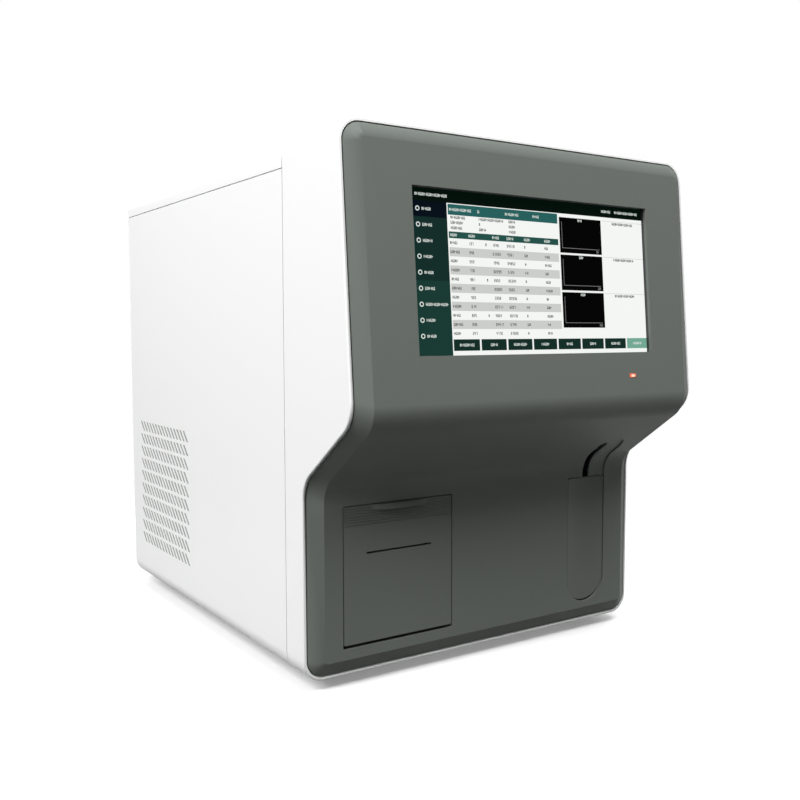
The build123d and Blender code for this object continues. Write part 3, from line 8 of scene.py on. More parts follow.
import bmesh
import bpy
from mathutils import Matrix, Vector


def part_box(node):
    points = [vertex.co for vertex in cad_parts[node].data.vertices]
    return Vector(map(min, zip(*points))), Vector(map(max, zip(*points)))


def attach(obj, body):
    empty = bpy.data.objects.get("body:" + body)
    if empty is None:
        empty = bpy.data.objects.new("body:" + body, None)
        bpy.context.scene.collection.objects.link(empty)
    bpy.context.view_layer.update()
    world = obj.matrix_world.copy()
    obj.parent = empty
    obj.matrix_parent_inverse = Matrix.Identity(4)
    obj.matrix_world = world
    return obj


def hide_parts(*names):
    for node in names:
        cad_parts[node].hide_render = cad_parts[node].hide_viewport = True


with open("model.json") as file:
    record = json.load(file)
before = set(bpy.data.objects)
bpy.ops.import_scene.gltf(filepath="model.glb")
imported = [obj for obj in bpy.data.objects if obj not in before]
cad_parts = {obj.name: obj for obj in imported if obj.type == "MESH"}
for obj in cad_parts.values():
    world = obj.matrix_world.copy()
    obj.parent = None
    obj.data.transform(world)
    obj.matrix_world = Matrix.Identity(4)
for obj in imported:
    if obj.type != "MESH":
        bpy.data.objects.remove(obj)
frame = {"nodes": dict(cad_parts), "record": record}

LOG = logging.getLogger("analyzer")
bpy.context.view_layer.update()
MM = 0.001
Colour = tuple[float, float, float]
Point = tuple[float, float, float]
Spot = tuple[float, float]
Field = tuple[float, float, float, float]
WHITE = (1.0, 1.0, 1.0, 1.0)

# A smoothed copy's merging distance, the bend that still counts as flat, the bend from which
# an edge is softened, and the steps that it is softened in.
MERGE = 0.002 * MM
FLAT = math.radians(0.4)
SOFTENED_FROM = math.radians(50)
SOFT_STEPS = 2


class Grain(Enum):
    """How the surface of a finish is worked."""

    SMOOTH = "smooth"
    MOULDED = "moulded"
    BRUSHED = "brushed"
    CAST = "cast"


# Octaves of each grain's noise, and the stretch of its axes where it has a direction.
GRAIN_NOISE: dict[Grain, tuple] = {
    Grain.MOULDED: (2.0,),
    Grain.BRUSHED: (3.0, (1.0, 0.02, 1.0)),
    Grain.CAST: (4.0,),
}


class Wire:
    """Shader socket whose sums and products are written as Python expressions."""

    def __init__(self, desk: "ShaderDesk", socket: bpy.types.NodeSocket) -> None:
        """Keeps the socket and the desk that its maths nodes are made at."""
        self.desk = desk
        self.socket = socket

    def maths(self, operation: str, first: "Wire | float", second: "Wire | float") -> "Wire":
        """Adds one Math node.

        Args:
            operation: Blender's name of the operation.
            first: Upper input.
            second: Lower input.

        Returns:
            The node's result.
        """
        made = self.desk.node("ShaderNodeMath", {"operation": operation}, {0: first, 1: second})
        return Wire(self.desk, made.outputs[0])

    def __add__(self, other: "Wire | float") -> "Wire":
        """Sum of two values."""
        return self.maths("ADD", self, other)

    def __radd__(self, other: float) -> "Wire":
        """Sum with a number on the left."""
        return self.maths("ADD", other, self)

    def __sub__(self, other: "Wire | float") -> "Wire":
        """Difference of two values."""
        return self.maths("SUBTRACT", self, other)

    def __rsub__(self, other: float) -> "Wire":
        """Difference with a number on the left."""
        return self.maths("SUBTRACT", other, self)

    def __mul__(self, other: "Wire | float") -> "Wire":
        """Product of two values."""
        return self.maths("MULTIPLY", self, other)

    def __rmul__(self, other: float) -> "Wire":
        """Product with a number on the left."""
        return self.maths("MULTIPLY", other, self)


class ShaderDesk:
    """Node tree of a material or of the world, with one way to make any node."""

    def __init__(self, owner: bpy.types.Material | bpy.types.World) -> None:
        """Starts an empty tree.

        Args:
            owner: The material or world that the tree is in.
        """
        self.owner = owner
        owner.use_nodes = True
        self.tree = owner.node_tree
        self.tree.nodes.clear()

    def node(
        self, kind: str, settings: dict | None = None, inputs: dict | None = None
    ) -> bpy.types.Node:
        """Makes a node, sets it up and then feeds it.

        Args:
            kind: Blender's type name of the node.
            settings: The node's own properties, with a ramp's stops under "stops".
            inputs: Values or wires by the input's name or number.

        Returns:
            The new node.
        """
        made = self.tree.nodes.new(kind)
        for key, value in (settings or {}).items():
            if key == "stops":
                for stop, (place, colour) in zip(made.color_ramp.elements, value):
                    stop.position = place
                    stop.color = colour
            else:
                setattr(made, key, value)
        for key, value in (inputs or {}).items():
            if isinstance(value, Wire):
                self.tree.links.new(value.socket, made.inputs[key])
            else:
                made.inputs[key].default_value = value
        return made

    def place(self) -> Wire:
        """The point's place in the row frame, in metres."""
        return Wire(self, self.node("ShaderNodeTexCoord").outputs["Object"])

    def noise(self, scale: float, detail: float, stretch: Point = (1.0, 1.0, 1.0)) -> Wire:
        """Noise over the object.

        Args:
            scale: Number of features in a metre.
            detail: Octaves of finer noise.
            stretch: Scale of each axis, so that a small one draws the noise out.

        Returns:
            A value from about 0 to 1.
        """
        mapped = self.node("ShaderNodeMapping", {}, {"Vector": self.place(), "Scale": stretch})
        inputs = {"Vector": Wire(self, mapped.outputs["Vector"]), "Scale": scale, "Detail": detail}
        return Wire(self, self.node("ShaderNodeTexNoise", {}, inputs).outputs[0])

    def bump(self, height: Wire, depth: float) -> Wire:
        """Normal that stands for small relief.

        Args:
            height: Height from 0 to 1.
            depth: Relief in metres.

        Returns:
            The bent normal.
        """
        inputs = {"Height": height, "Distance": depth, "Strength": 1.0}
        return Wire(self, self.node("ShaderNodeBump", {}, inputs).outputs["Normal"])

    def vector_maths(self, operation: str, *values: Wire | Point) -> bpy.types.Node:
        """Adds one Vector Math node with those inputs."""
        settings = {"operation": operation}
        return self.node("ShaderNodeVectorMath", settings, dict(enumerate(values)))

    def away(self, spot: Point = (0.0, 0.0, 0.0), stretch: Point = (1.0, 1.0, 1.0)) -> Wire:
        """Distance of the point from a spot.

        Args:
            spot: The spot, in metres.
            stretch: Scale of each axis about the spot.

        Returns:
            The distance in metres.
        """
        shift = Wire(self, self.vector_maths("SUBTRACT", self.place(), spot).outputs[0])
        scaled = Wire(self, self.vector_maths("MULTIPLY", shift, stretch).outputs[0])
        return Wire(self, self.vector_maths("LENGTH", scaled).outputs["Value"])

    def share(self, value: Wire, low: float, high: float) -> Wire:
        """Smooth rise between two limits.

        Args:
            value: The value that rises.
            low: Where the rise starts, at 0.
            high: Where it ends, at 1.

        Returns:
            A value from 0 to 1.
        """
        settings = {"interpolation_type": "SMOOTHSTEP"}
        inputs = {"Value": value, "From Min": low, "From Max": high}
        return Wire(self, self.node("ShaderNodeMapRange", settings, inputs).outputs["Result"])

    def blend(self, factor: Wire, first: Wire, second: Wire) -> Wire:
        """Mixes two shaders, the second one by the factor."""
        made = self.node("ShaderNodeMixShader", {}, {0: factor, 1: first, 2: second})
        return Wire(self, made.outputs["Shader"])

    def shader(self, kind: str, **inputs: object) -> Wire:
        """Makes a shader node, whose input names have _ for a blank."""
        named = {key.replace("_", " "): value for key, value in inputs.items()}
        return Wire(self, self.node(kind, {}, named).outputs[0])

    def seen(self) -> Wire:
        """Tells rays that show a surface from those that only light something.

        Returns:
            1 for a ray from the camera, a mirroring surface or clear glass, and 0 for others.
        """
        path = self.node("ShaderNodeLightPath")
        names = ("Is Camera Ray", "Is Glossy Ray", "Is Transmission Ray")
        camera, glossy, through = (Wire(self, path.outputs[name]) for name in names)
        return camera + glossy + through

    def surface(self, **inputs: object) -> bpy.types.Material:
        """Ends a material's tree with a Principled shader.

        Args:
            inputs: The shader's inputs, whose names have _ for a blank.

        Returns:
            The material.
        """
        shown = self.shader("ShaderNodeBsdfPrincipled", **inputs)
        self.node("ShaderNodeOutputMaterial", {}, {"Surface": shown})
        return self.owner


@dataclass(frozen=True)
class Named:
    """A finish whose material's name is kept apart from those of the frame's own materials."""

    name: str

    @property
    def label(self) -> str:
        """Name of the finish's material."""
        return f"finish_{self.name}"

    def paint(self, desk: ShaderDesk) -> bpy.types.Material:
        """Sets up a new material as this finish."""
        raise NotImplementedError

    def material(self) -> bpy.types.Material:
        """Makes the material, or returns the one made before."""
        if self.label in bpy.data.materials:
            return bpy.data.materials[self.label]
        return self.paint(ShaderDesk(bpy.data.materials.new(self.label)))


@dataclass(frozen=True)
class Finish(Named):
    """An opaque finish: a plain colour with the relief that its making leaves.

    Its roughness varies in wide patches, whose number in a metre is patches.
    """

    colour: Colour
    roughness: float
    metallic: float = 0.0
    coat: float = 0.0
    gloss: float = 0.5
    grain: Grain = Grain.SMOOTH
    grain_scale: float = 2600.0
    grain_depth: float = 0.03 * MM
    unevenness: float = 0.06
    patches: float = 9.0
    patch_octaves: float = 3.0
    mean: float = 0.5

    def uneven(self, desk: ShaderDesk) -> Wire:
        """Roughness that varies in patches about its mean."""
        patch = desk.noise(self.patches, self.patch_octaves) - self.mean
        return patch * self.unevenness + self.roughness

    def paint(self, desk: ShaderDesk) -> bpy.types.Material:
        """Sets up a new material as this finish.

        Args:
            desk: The empty material's desk.

        Returns:
            The material.
        """
        inputs = {
            "Base_Color": (*self.colour, 1.0),
            "Roughness": self.uneven(desk) if self.unevenness else self.roughness,
            "Metallic": self.metallic,
            "Coat_Weight": self.coat,
            "Specular_IOR_Level": self.gloss,
        }
        if self.grain is not Grain.SMOOTH:
            relief = desk.noise(self.grain_scale, *GRAIN_NOISE[self.grain])
            inputs["Normal"] = desk.bump(relief, self.grain_depth)
        return desk.surface(**inputs)


@dataclass(frozen=True)
class ClearFinish(Named):
    """Clear glass."""

    colour: Colour
    alpha: float = 0.25
    roughness: float = 0.04

    def paint(self, desk: ShaderDesk) -> bpy.types.Material:
        """Sets up a new material as this finish."""
        colour = (*self.colour, 1.0)
        return desk.surface(Base_Color=colour, Roughness=self.roughness, Alpha=self.alpha)


@dataclass(frozen=True)
class LitFinish(Named):
    """A field of the lit display, which shows its colour and mirrors nothing."""

    colour: Colour
    unlit: Colour = (0.002, 0.002, 0.002)
    roughness: float = 0.25

    def paint(self, desk: ShaderDesk) -> bpy.types.Material:
        """Sets up a new material as this finish.

        Args:
            desk: The empty material's desk.

        Returns:
            The material.
        """
        return desk.surface(
            Base_Color=(*self.unlit, 1.0),
            Roughness=self.roughness,
            Specular_IOR_Level=0.0,
            Emission_Color=(*self.colour, 1.0),
            Emission_Strength=1.0,
        )


@dataclass(frozen=True)
class LampFinish(Named):
    """A lit lamp's lens, pale in its middle and coloured at its rim.

    Its middle is a point of the row frame, and reach is how far from there the pale heart
    starts to fade and where only the colour is left.
    """

    colour: Colour
    heart: Colour
    reach: Spot
    unlit: Colour = (0.10, 0.02, 0.01)
    roughness: float = 0.3
    middle: Point = (0.0, 0.0, 0.0)
    stretch: Point = (0.5, 0.0, 1.0)

    def paint(self, desk: ShaderDesk) -> bpy.types.Material:
        """Sets up a new material as this finish.

        Args:
            desk: The empty material's desk.

        Returns:
            The material.
        """
        factor = desk.share(desk.away(self.middle, self.stretch), *self.reach)
        stops = ((0.0, (*self.heart, 1.0)), (1.0, (*self.colour, 1.0)))
        ramp = desk.node("ShaderNodeValToRGB", {"stops": stops}, {"Fac": factor})
        return desk.surface(
            Base_Color=(*self.unlit, 1.0),
            Roughness=self.roughness,
            Emission_Color=Wire(desk, ramp.outputs["Color"]),
            Emission_Strength=1.0,
        )


class Look(Enum):
    """The analyzer's finishes."""

    DARK_PANEL = Finish("dark_panel", (0.140, 0.155, 0.141), 0.55, gloss=0.12, grain=Grain.MOULDED)
    DARK_TRIM = Finish("dark_trim", (0.134, 0.148, 0.135), 0.55, gloss=0.12, grain=Grain.MOULDED)
    WHITE_CASE = Finish(
        "white_case", (0.86, 0.865, 0.86), 0.42, grain=Grain.MOULDED, grain_depth=0.01 * MM
    )
    SHEET_STEEL = Finish(
        "sheet_steel", (0.60, 0.61, 0.62), 0.38, 1.0, grain=Grain.BRUSHED, grain_scale=900
    )
    BRIGHT_STEEL = Finish("bright_steel", (0.66, 0.66, 0.67), 0.24, 1.0)
    FITTING = Finish("fitting", (0.72, 0.72, 0.73), 0.16, 1.0)
    ALUMINIUM = Finish(
        "aluminium", (0.74, 0.75, 0.76), 0.36, 1.0, grain=Grain.BRUSHED, grain_scale=700
    )
    RUBBER = Finish("rubber", (0.022, 0.022, 0.023), 0.78, grain=Grain.CAST, grain_scale=1500)
    BLACK_PLASTIC = Finish("black_plastic", (0.03, 0.031, 0.032), 0.46, grain=Grain.MOULDED)
    MOTOR_PAINT = Finish("motor_paint", (0.035, 0.035, 0.04), 0.4, coat=0.3)
    CIRCUIT = Finish("circuit", (0.02, 0.13, 0.06), 0.32, coat=0.5)
    PAPER = Finish("paper", (0.84, 0.84, 0.82), 0.72, grain=Grain.CAST, grain_scale=1800)
    ACRYLIC = Finish("acrylic", (0.72, 0.76, 0.78), 0.14, coat=0.6)
    PISTON = Finish("piston", (0.68, 0.68, 0.66), 0.44, grain=Grain.MOULDED)
    # Painted shade: this grey is given to the vent slots' flanks in place of the shade that falls
    # inside the slots.
    SLOT_SHADE = Finish("slot_painted_shade", (0.40, 0.41, 0.40), 0.6, gloss=0.12)
    BARREL_GLASS = ClearFinish("barrel_glass", (0.9, 0.94, 0.95))
    SCREEN_GLASS = Finish("screen_glass", (0.012, 0.014, 0.014), 0.10, coat=1.0, unevenness=0.0)
    LAMP = LampFinish("lamp", (0.90, 0.13, 0.04), (1.0, 0.78, 0.62), (0.4 * MM, 1.6 * MM))


@dataclass
class NodeDress:
    """Finish of one CAD node, and how the smoothed copy is made that stands for it, if any.

    Its edge is the softened edges' width, its bend the degrees above which an edge stays sharp,
    its work what is done to the copy's mesh, and its shade a second finish for some of the faces,
    which the vent slots use as painted shade.
    """

    node: str
    look: Look
    smooth: bool = False
    edge: float = 0.0
    bend: float = 28.0
    work: Callable[[bmesh.types.BMesh], None] | None = None
    shade: Look | None = None

    def apply(self) -> None:
        """Dresses the node, or makes the smoothed copy and dresses that."""
        material = self.look.value.material()
        if not self.smooth:
            set_plain(self.node, material)
            return
        copy = smoothed(self.node, math.radians(self.bend), self.edge, self.work)
        copy.data.materials.append(material)
        if self.shade:
            copy.data.materials.append(self.shade.value.material())
        stand_in(copy, self.node)
        LOG.info("smoothed %s", self.node)


class Assembly:
    """Sub-assembly whose CAD nodes are dressed in one go."""

    def dresses(self) -> tuple[NodeDress, ...]:
        """Finishes of its CAD nodes."""
        return ()

    def build(self) -> None:
        """Dresses every CAD node of the sub-assembly."""
        for dress in self.dresses():
            dress.apply()


def set_plain(node: str, material: bpy.types.Material) -> None:
    """Gives a CAD node a material without a copy.

    Args:
        node: The CAD node.
        material: Its new material.
    """
    mesh = frame["nodes"][node].data
    mesh.materials.clear()
    mesh.materials.append(material)
    LOG.info("dressed %s", node)


def body_of_node(node: str) -> str:
    """Name of the body that carries a CAD node."""
    bodies = frame["record"]["behaviour"]["bodies"]
    return next(body for body, nodes in bodies.items() if node in nodes)


def slot_of_node(node: str) -> str:
    """Name of the record's material slot of a CAD node."""
    parts = frame["record"]["subparts"]
    return next(part["material_slot"] for part in parts if part["node"] == node)


def stand_in(piece: bpy.types.Object, node: str) -> None:
    """Lets a piece take a CAD node's place and body, and looks up the node's slot.

    Args:
        piece: The piece.
        node: The CAD node that it stands for.
    """
    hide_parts(node)
    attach(piece, body_of_node(node))
    slot_of_node(node)


def finished(name: str, bm: bmesh.types.BMesh, turned: bool = True) -> bpy.types.Object:
    """Closes a bmesh into an object at the origin.

    Args:
        name: The piece's name.
        bm: Its mesh, which is freed.
        turned: Whether the normals are worked out again.

    Returns:
        The new object.
    """
    if turned:
        bmesh.ops.recalc_face_normals(bm, faces=bm.faces[:])
    mesh = bpy.data.meshes.new(name)
    bm.to_mesh(mesh)
    bm.free()
    piece = bpy.data.objects.new(name, mesh)
    bpy.context.scene.collection.objects.link(piece)
    return piece


def smoothed(
    node: str, bend: float, edge: float, work: Callable[[bmesh.types.BMesh], None] | None
) -> bpy.types.Object:
    """Merged copy of a CAD node with smooth curves and softened edges.

    Args:
        node: The CAD node.
        bend: Angle above which an edge stays sharp, in radians.
        edge: Width of the softened edges in metres, or 0.
        work: What is done to the copy's mesh first, if anything.

    Returns:
        The copy, at the origin.
    """
    bm = bmesh.new()
    bm.from_mesh(frame["nodes"][node].data)
    bmesh.ops.remove_doubles(bm, verts=bm.verts[:], dist=MERGE)
    bmesh.ops.dissolve_limit(bm, angle_limit=FLAT, verts=bm.verts[:], edges=bm.edges[:])
    if work:
        work(bm)
    piece = finished(f"{node}_finish", bm, turned=False)
    piece.data.shade_smooth()
    piece.data.set_sharp_from_angle(angle=bend)
    if edge:
        soft = piece.modifiers.new("soft_edges", "BEVEL")
        soft.width = edge
        soft.segments = SOFT_STEPS
        soft.limit_method = "ANGLE"
        soft.angle_limit = SOFTENED_FROM
        soft.harden_normals = True
    even = piece.modifiers.new("even_normals", "WEIGHTED_NORMAL")
    even.keep_sharp = True
    return piece


def plate(bm: bmesh.types.BMesh, low: Vector, high: Vector, index: int) -> None:
    """Adds a box between two corners.

    Args:
        bm: The mesh that it is added to.
        low: Its lowest corner.
        high: Its highest corner.
        index: Number of its faces' material.
    """
    size = high - low
    place = Matrix.Translation((low + high) / 2) @ Matrix.Diagonal((*size, 1.0))
    made = bmesh.ops.create_cube(bm, size=1.0, matrix=place)
    for face in {face for vert in made["verts"] for face in vert.link_faces}:
        face.material_index = index


class Ink(Enum):
    """Fields of colour that the display shows."""

    WHITE = LitFinish("ink_white", (0.90, 0.92, 0.90))
    TOP_BAR = LitFinish("ink_top_bar", (0.001, 0.005, 0.003))
    MENU_HIGH = LitFinish("ink_menu_high", (0.006, 0.026, 0.022))
    MENU_LOW = LitFinish("ink_menu_low", (0.009, 0.042, 0.033))
    CHOSEN = LitFinish("ink_chosen", (0.001, 0.004, 0.009))
    TEAL = LitFinish("ink_teal", (0.020, 0.115, 0.108))
    HEADER = LitFinish("ink_header", (0.016, 0.080, 0.066))
    STRIPE = LitFinish("ink_stripe", (0.60, 0.61, 0.59))
    GRAPH = LitFinish("ink_graph", (0.0, 0.0, 0.0))
    BUTTON = LitFinish("ink_button", (0.006, 0.026, 0.019))
    BUTTON_PALE = LitFinish("ink_button_pale", (0.17, 0.39, 0.30))
    DARK_WORD = LitFinish("ink_dark_word", (0.025, 0.025, 0.025))
    PALE_WORD = LitFinish("ink_pale_word", (0.72, 0.78, 0.74))
    AXIS = LitFinish("ink_axis", (0.22, 0.22, 0.22))


class Level(IntEnum):
    """Layers of the picture, from the one on the glass outwards."""

    GROUND = 0
    AREA = 1
    INSET = 2
    WORD = 3
    BAR = 4


@dataclass
class Digits:
    """Plain numbers made of seven short strokes."""

    wide: float = 1.05 * MM
    tall: float = 2.1 * MM
    stroke: float = 0.3 * MM
    lit: tuple[str, ...] = (
        "abcdef", "bc", "abged", "abgcd", "fgbc", "afgcd", "afgedc", "abc", "abcdefg", "abcfgd",
    )

    def strokes(self, figure: int) -> list[Field]:
        """Strokes of one figure.

        Args:
            figure: The figure, from 0 to 9.

        Returns:
            Left, top, right and bottom of each stroke, from the figure's upper left corner.
        """
        half = self.tall / 2
        right = self.wide - self.stroke
        low = self.tall - self.stroke
        mid = half - self.stroke / 2
        shapes = {
            "a": (0.0, 0.0, self.wide, self.stroke),
            "b": (right, 0.0, self.wide, half),
            "c": (right, half, self.wide, self.tall),
            "d": (0.0, low, self.wide, self.tall),
            "e": (0.0, half, self.stroke, self.tall),
            "f": (0.0, 0.0, self.stroke, half),
            "g": (0.0, mid, self.wide, mid + self.stroke),
        }
        return [shapes[name] for name in self.lit[figure]]


@dataclass
class Marks:
    """Small marks in rows that stand for words: one or two uprights joined by a bar.

    There are four kinds, each a little wider than the one before and with its bar lower. The
    open kind has no right upright, and the tall kind has longer ones.
    """

    narrowest: float = 0.92 * MM
    wider: float = 0.1725 * MM
    stroke: float = 0.345 * MM
    reach: float = 0.966 * MM
    tall_reach: float = 1.15 * MM
    bar_shift: float = 0.35
    kinds: int = 4
    open_kind: int = 1
    tall_kind: int = 3
    seed_step: int = 7
    place_step: int = 5

    def kind(self, seed: int, place: int) -> int:
        """Kind of the mark at one place of a row."""
        return (seed * self.seed_step + place * self.place_step) % self.kinds

    def wide(self, kind: int) -> float:
        """Width of one kind of mark."""
        return self.narrowest + self.wider * kind

    def strokes(self, kind: int, at: Spot) -> list[tuple[Field, Level]]:
        """Strokes of one mark.

        Args:
            kind: The kind of mark.
            at: Its left end and middle height.

        Returns:
            Left, top, right and bottom of each stroke, with its layer.
        """
        left, middle = at
        right = left + self.wide(kind)
        reach = self.tall_reach if kind == self.tall_kind else self.reach
        top, bottom = middle - reach, middle + reach
        bar = middle + (kind - (self.kinds - 1) / 2) * self.bar_shift * reach
        found = [((left, top, left + self.stroke, bottom), Level.WORD)]
        if kind != self.open_kind:
            found.append(((right - self.stroke, top, right, bottom), Level.WORD))
        found.append(((left, bar - self.stroke / 2, right, bar + self.stroke / 2), Level.BAR))
        return found


@dataclass(frozen=True)
class WordColumn:
    """Column of a table with words, whose numbers of marks take turns down the rows."""

    left: float
    lengths: tuple[int, ...]
    every: int = 1
    seed: int = 0

    def show(self, display: "Display", bm: bmesh.types.BMesh, row: int, middle: float) -> None:
        """Adds the column's word in one row.

        Args:
            display: The display that it is on.
            bm: Mesh of the picture.
            row: Number of the row, from 0.
            middle: The row's middle height.
        """
        if row % self.every == 0:
            length = self.lengths[row % len(self.lengths)]
            display.word(bm, (self.left, middle), length, Ink.DARK_WORD, row + self.seed)


@dataclass(frozen=True)
class NumberColumn:
    """Column of a table with numbers, which grow by a step from row to row."""

    left: float
    first: int
    step: int
    places: tuple[int, int]

    def show(self, display: "Display", bm: bmesh.types.BMesh, row: int, middle: float) -> None:
        """Adds the column's number in one row.

        Args:
            display: The display that it is on.
            bm: Mesh of the picture.
            row: Number of the row, from 0.
            middle: The row's middle height.
        """
        places = self.places[row % len(self.places)]
        display.number(bm, (self.left, middle), self.first + self.step * row, places)


@dataclass
class Display(Assembly):
    """Lit picture of the display: fields of colour, with short bars in place of words.

    Places are metres from the upper left corner of the opening, to the right and down. The
    lengths of words are numbers of marks.
    """

    width: float = 227.9 * MM
    height: float = 115.5 * MM
    tilt: float = math.radians(4.68)
    glass_t: float = 1.1 * MM
    stand: float = 0.05 * MM
    layer: float = 0.03 * MM
    gap: float = 0.45 * MM
    top_bar: float = 9.0 * MM
    title: Spot = (5.3 * MM, 4.5 * MM)
    title_length: int = 17
    title_seed: int = 4
    clock: tuple[tuple[float, int], ...] = ((182.8 * MM, 6), (197.2 * MM, 16))
    menu: float = 31.9 * MM
    menu_top: float = 14.4 * MM
    menu_pitch: float = 10.92 * MM
    menu_split: float = 4.5
    menu_icon: float = 5.3 * MM
    menu_word: float = 10.6 * MM
    menu_lengths: tuple[int, ...] = (5, 5, 5, 5, 5, 5, 12, 5, 5)
    icon_r: float = 1.75 * MM
    icon_hole: float = 0.6
    icon_sides: int = 20
    table: Field = (32.8 * MM, 9.6 * MM, 135.7 * MM, 103.1 * MM)
    table_head: float = 17.1 * MM
    table_words: tuple[tuple[float, int], ...] = (
        (34.0 * MM, 12), (59.0 * MM, 1), (84.4 * MM, 8), (110.9 * MM, 4),
    )
    note_rows: tuple[float, ...] = (18.75 * MM, 22.4 * MM, 26.1 * MM)
    notes: tuple[WordColumn, ...] = (
        WordColumn(34.9 * MM, (8, 7, 6)),
        WordColumn(59.9 * MM, (14, 1, 4), seed=3),
        WordColumn(87.5 * MM, (4,), seed=5),
    )
    header: Spot = (28.75 * MM, 33.4 * MM)
    header_words: tuple[float, ...] = (
        34.0 * MM, 50.0 * MM, 71.5 * MM, 85.0 * MM, 101.5 * MM, 121.5 * MM,
    )
    header_length: int = 4
    rows: int = 11
    columns: tuple[WordColumn | NumberColumn, ...] = (
        WordColumn(33.6 * MM, (4, 5)),
        NumberColumn(50.0 * MM, 137, 211, (3, 3)),
        WordColumn(65.0 * MM, (1,), every=4),
        NumberColumn(71.5 * MM, 1240, 353, (4, 5)),
        NumberColumn(85.0 * MM, 4310, 271, (5, 4)),
        WordColumn(101.5 * MM, (1, 2)),
        WordColumn(121.5 * MM, (2, 3, 4), seed=2),
    )
    graph_x: Spot = (137.4 * MM, 181.5 * MM)
    graph_y: tuple[float, ...] = (11.75 * MM, 40.2 * MM, 68.7 * MM)
    graph_tall: float = 27.0 * MM
    graph_name: Spot = (2.6 * MM, 1.7 * MM)
    graph_name_length: int = 3
    axis_up: float = 3.9 * MM
    axis_w: float = 0.35 * MM
    axis_ends: Spot = (2.3 * MM, 2.5 * MM)
    axis_top: float = 3.4 * MM
    unit: Spot = (3.2 * MM, 2.0 * MM)
    unit_length: int = 2
    side_note: Spot = (194.0 * MM, 2.0 * MM)
    side_note_length: int = 14
    rule_gap: float = 1.2 * MM
    button_x: float = 32.8 * MM
    button_y: Spot = (104.0 * MM, 112.1 * MM)
    button_pitch: float = 24.64 * MM
    button_w: float = 23.1 * MM
    button_lengths: tuple[int, ...] = (8, 4, 8, 5, 4, 4, 6, 6)
    half_mark: float = 0.78 * MM
    digits: Digits = field(default_factory=Digits)
    marks: Marks = field(default_factory=Marks)
    order: list[Ink] = field(default_factory=lambda: list(Ink))

    def patch(self, bm: bmesh.types.BMesh, area: Field, ink: Ink, level: Level) -> None:
        """Adds one field of colour.

        Args:
            bm: Mesh of the picture, in the screen's own axes.
            area: Left, top, right and bottom.
            ink: Its colour.
            level: Its layer.
        """
        left, top, right, bottom = area
        thick = self.stand + self.layer * level
        low = Vector((left - self.width / 2, self.height / 2 - bottom, 0.0))
        high = Vector((right - self.width / 2, self.height / 2 - top, thick))
        plate(bm, low, high, self.order.index(ink))

    def word(self, bm: bmesh.types.BMesh, at: Spot, length: int, ink: Ink, seed: int) -> None:
        """Adds a row of small marks that stands for a word.

        Args:
            bm: Mesh of the picture.
            at: Left end and middle height.
            length: Number of marks.
            ink: Its colour.
            seed: Number that varies the marks.
        """
        left, middle = at
        for place in range(length):
            kind = self.marks.kind(seed, place)
            for area, level in self.marks.strokes(kind, (left, middle)):
                self.patch(bm, area, ink, level)
            left += self.marks.wide(kind) + self.gap

    def number(self, bm: bmesh.types.BMesh, at: Spot, value: int, places: int) -> None:
        """Adds a plain number.

        Args:
            bm: Mesh of the picture.
            at: Left end and middle height.
            value: The number.
            places: How many figures it has.
        """
        left, middle = at
        top = middle - self.digits.tall / 2
        for place in range(places):
            figure = value // 10 ** (places - 1 - place) % 10
            for area in self.digits.strokes(figure):
                spot = (left + area[0], top + area[1], left + area[2], top + area[3])
                self.patch(bm, spot, Ink.DARK_WORD, Level.WORD)
            left += self.digits.wide + self.gap

    def disc(
        self, bm: bmesh.types.BMesh, middle: Spot, radius: float, ink: Ink, level: Level
    ) -> None:
        """Adds a round field.

        Args:
            bm: Mesh of the picture.
            middle: Its middle.
            radius: Its radius.
            ink: Its colour.
            level: Its layer.
        """
        thick = self.stand + self.layer * level
        place = Vector((middle[0] - self.width / 2, self.height / 2 - middle[1], thick / 2))
        made = bmesh.ops.create_cone(
            bm,
            segments=self.icon_sides,
            cap_ends=True,
            radius1=radius,
            radius2=radius,
            depth=thick,
            matrix=Matrix.Translation(place),
        )
        for part in {part for vert in made["verts"] for part in vert.link_faces}:
            part.material_index = self.order.index(ink)

    def head(self, bm: bmesh.types.BMesh) -> None:
        """Dark bar across the top.

        Args:
            bm: Mesh of the picture.
        """
        self.patch(bm, (0.0, 0.0, self.width, self.top_bar), Ink.TOP_BAR, Level.AREA)
        self.word(bm, self.title, self.title_length, Ink.PALE_WORD, self.title_seed)
        for left, length in self.clock:
            self.word(bm, (left, self.title[1]), length, Ink.PALE_WORD, length)

    def side_menu(self, bm: bmesh.types.BMesh) -> None:
        """Dark green menu in two tones, with its first entry chosen.

        Args:
            bm: Mesh of the picture.
        """
        half = self.menu_top + self.menu_split * self.menu_pitch
        self.patch(bm, (0.0, self.top_bar, self.menu, half), Ink.MENU_HIGH, Level.AREA)
        self.patch(bm, (0.0, half, self.menu, self.height), Ink.MENU_LOW, Level.AREA)
        chosen = self.menu_top + self.menu_pitch / 2
        self.patch(bm, (0.0, self.top_bar, self.menu, chosen), Ink.CHOSEN, Level.INSET)
        for entry, length in enumerate(self.menu_lengths):
            middle = self.menu_top + entry * self.menu_pitch
            centre = (self.menu_icon + self.icon_r, middle)
            ground = Ink.MENU_HIGH if entry < self.menu_split else Ink.MENU_LOW
            inner = ground if entry else Ink.CHOSEN
            self.disc(bm, centre, self.icon_r, Ink.PALE_WORD, Level.WORD)
            self.disc(bm, centre, self.icon_r * self.icon_hole, inner, Level.BAR)
            self.word(bm, (self.menu_word, middle), length, Ink.PALE_WORD, entry)

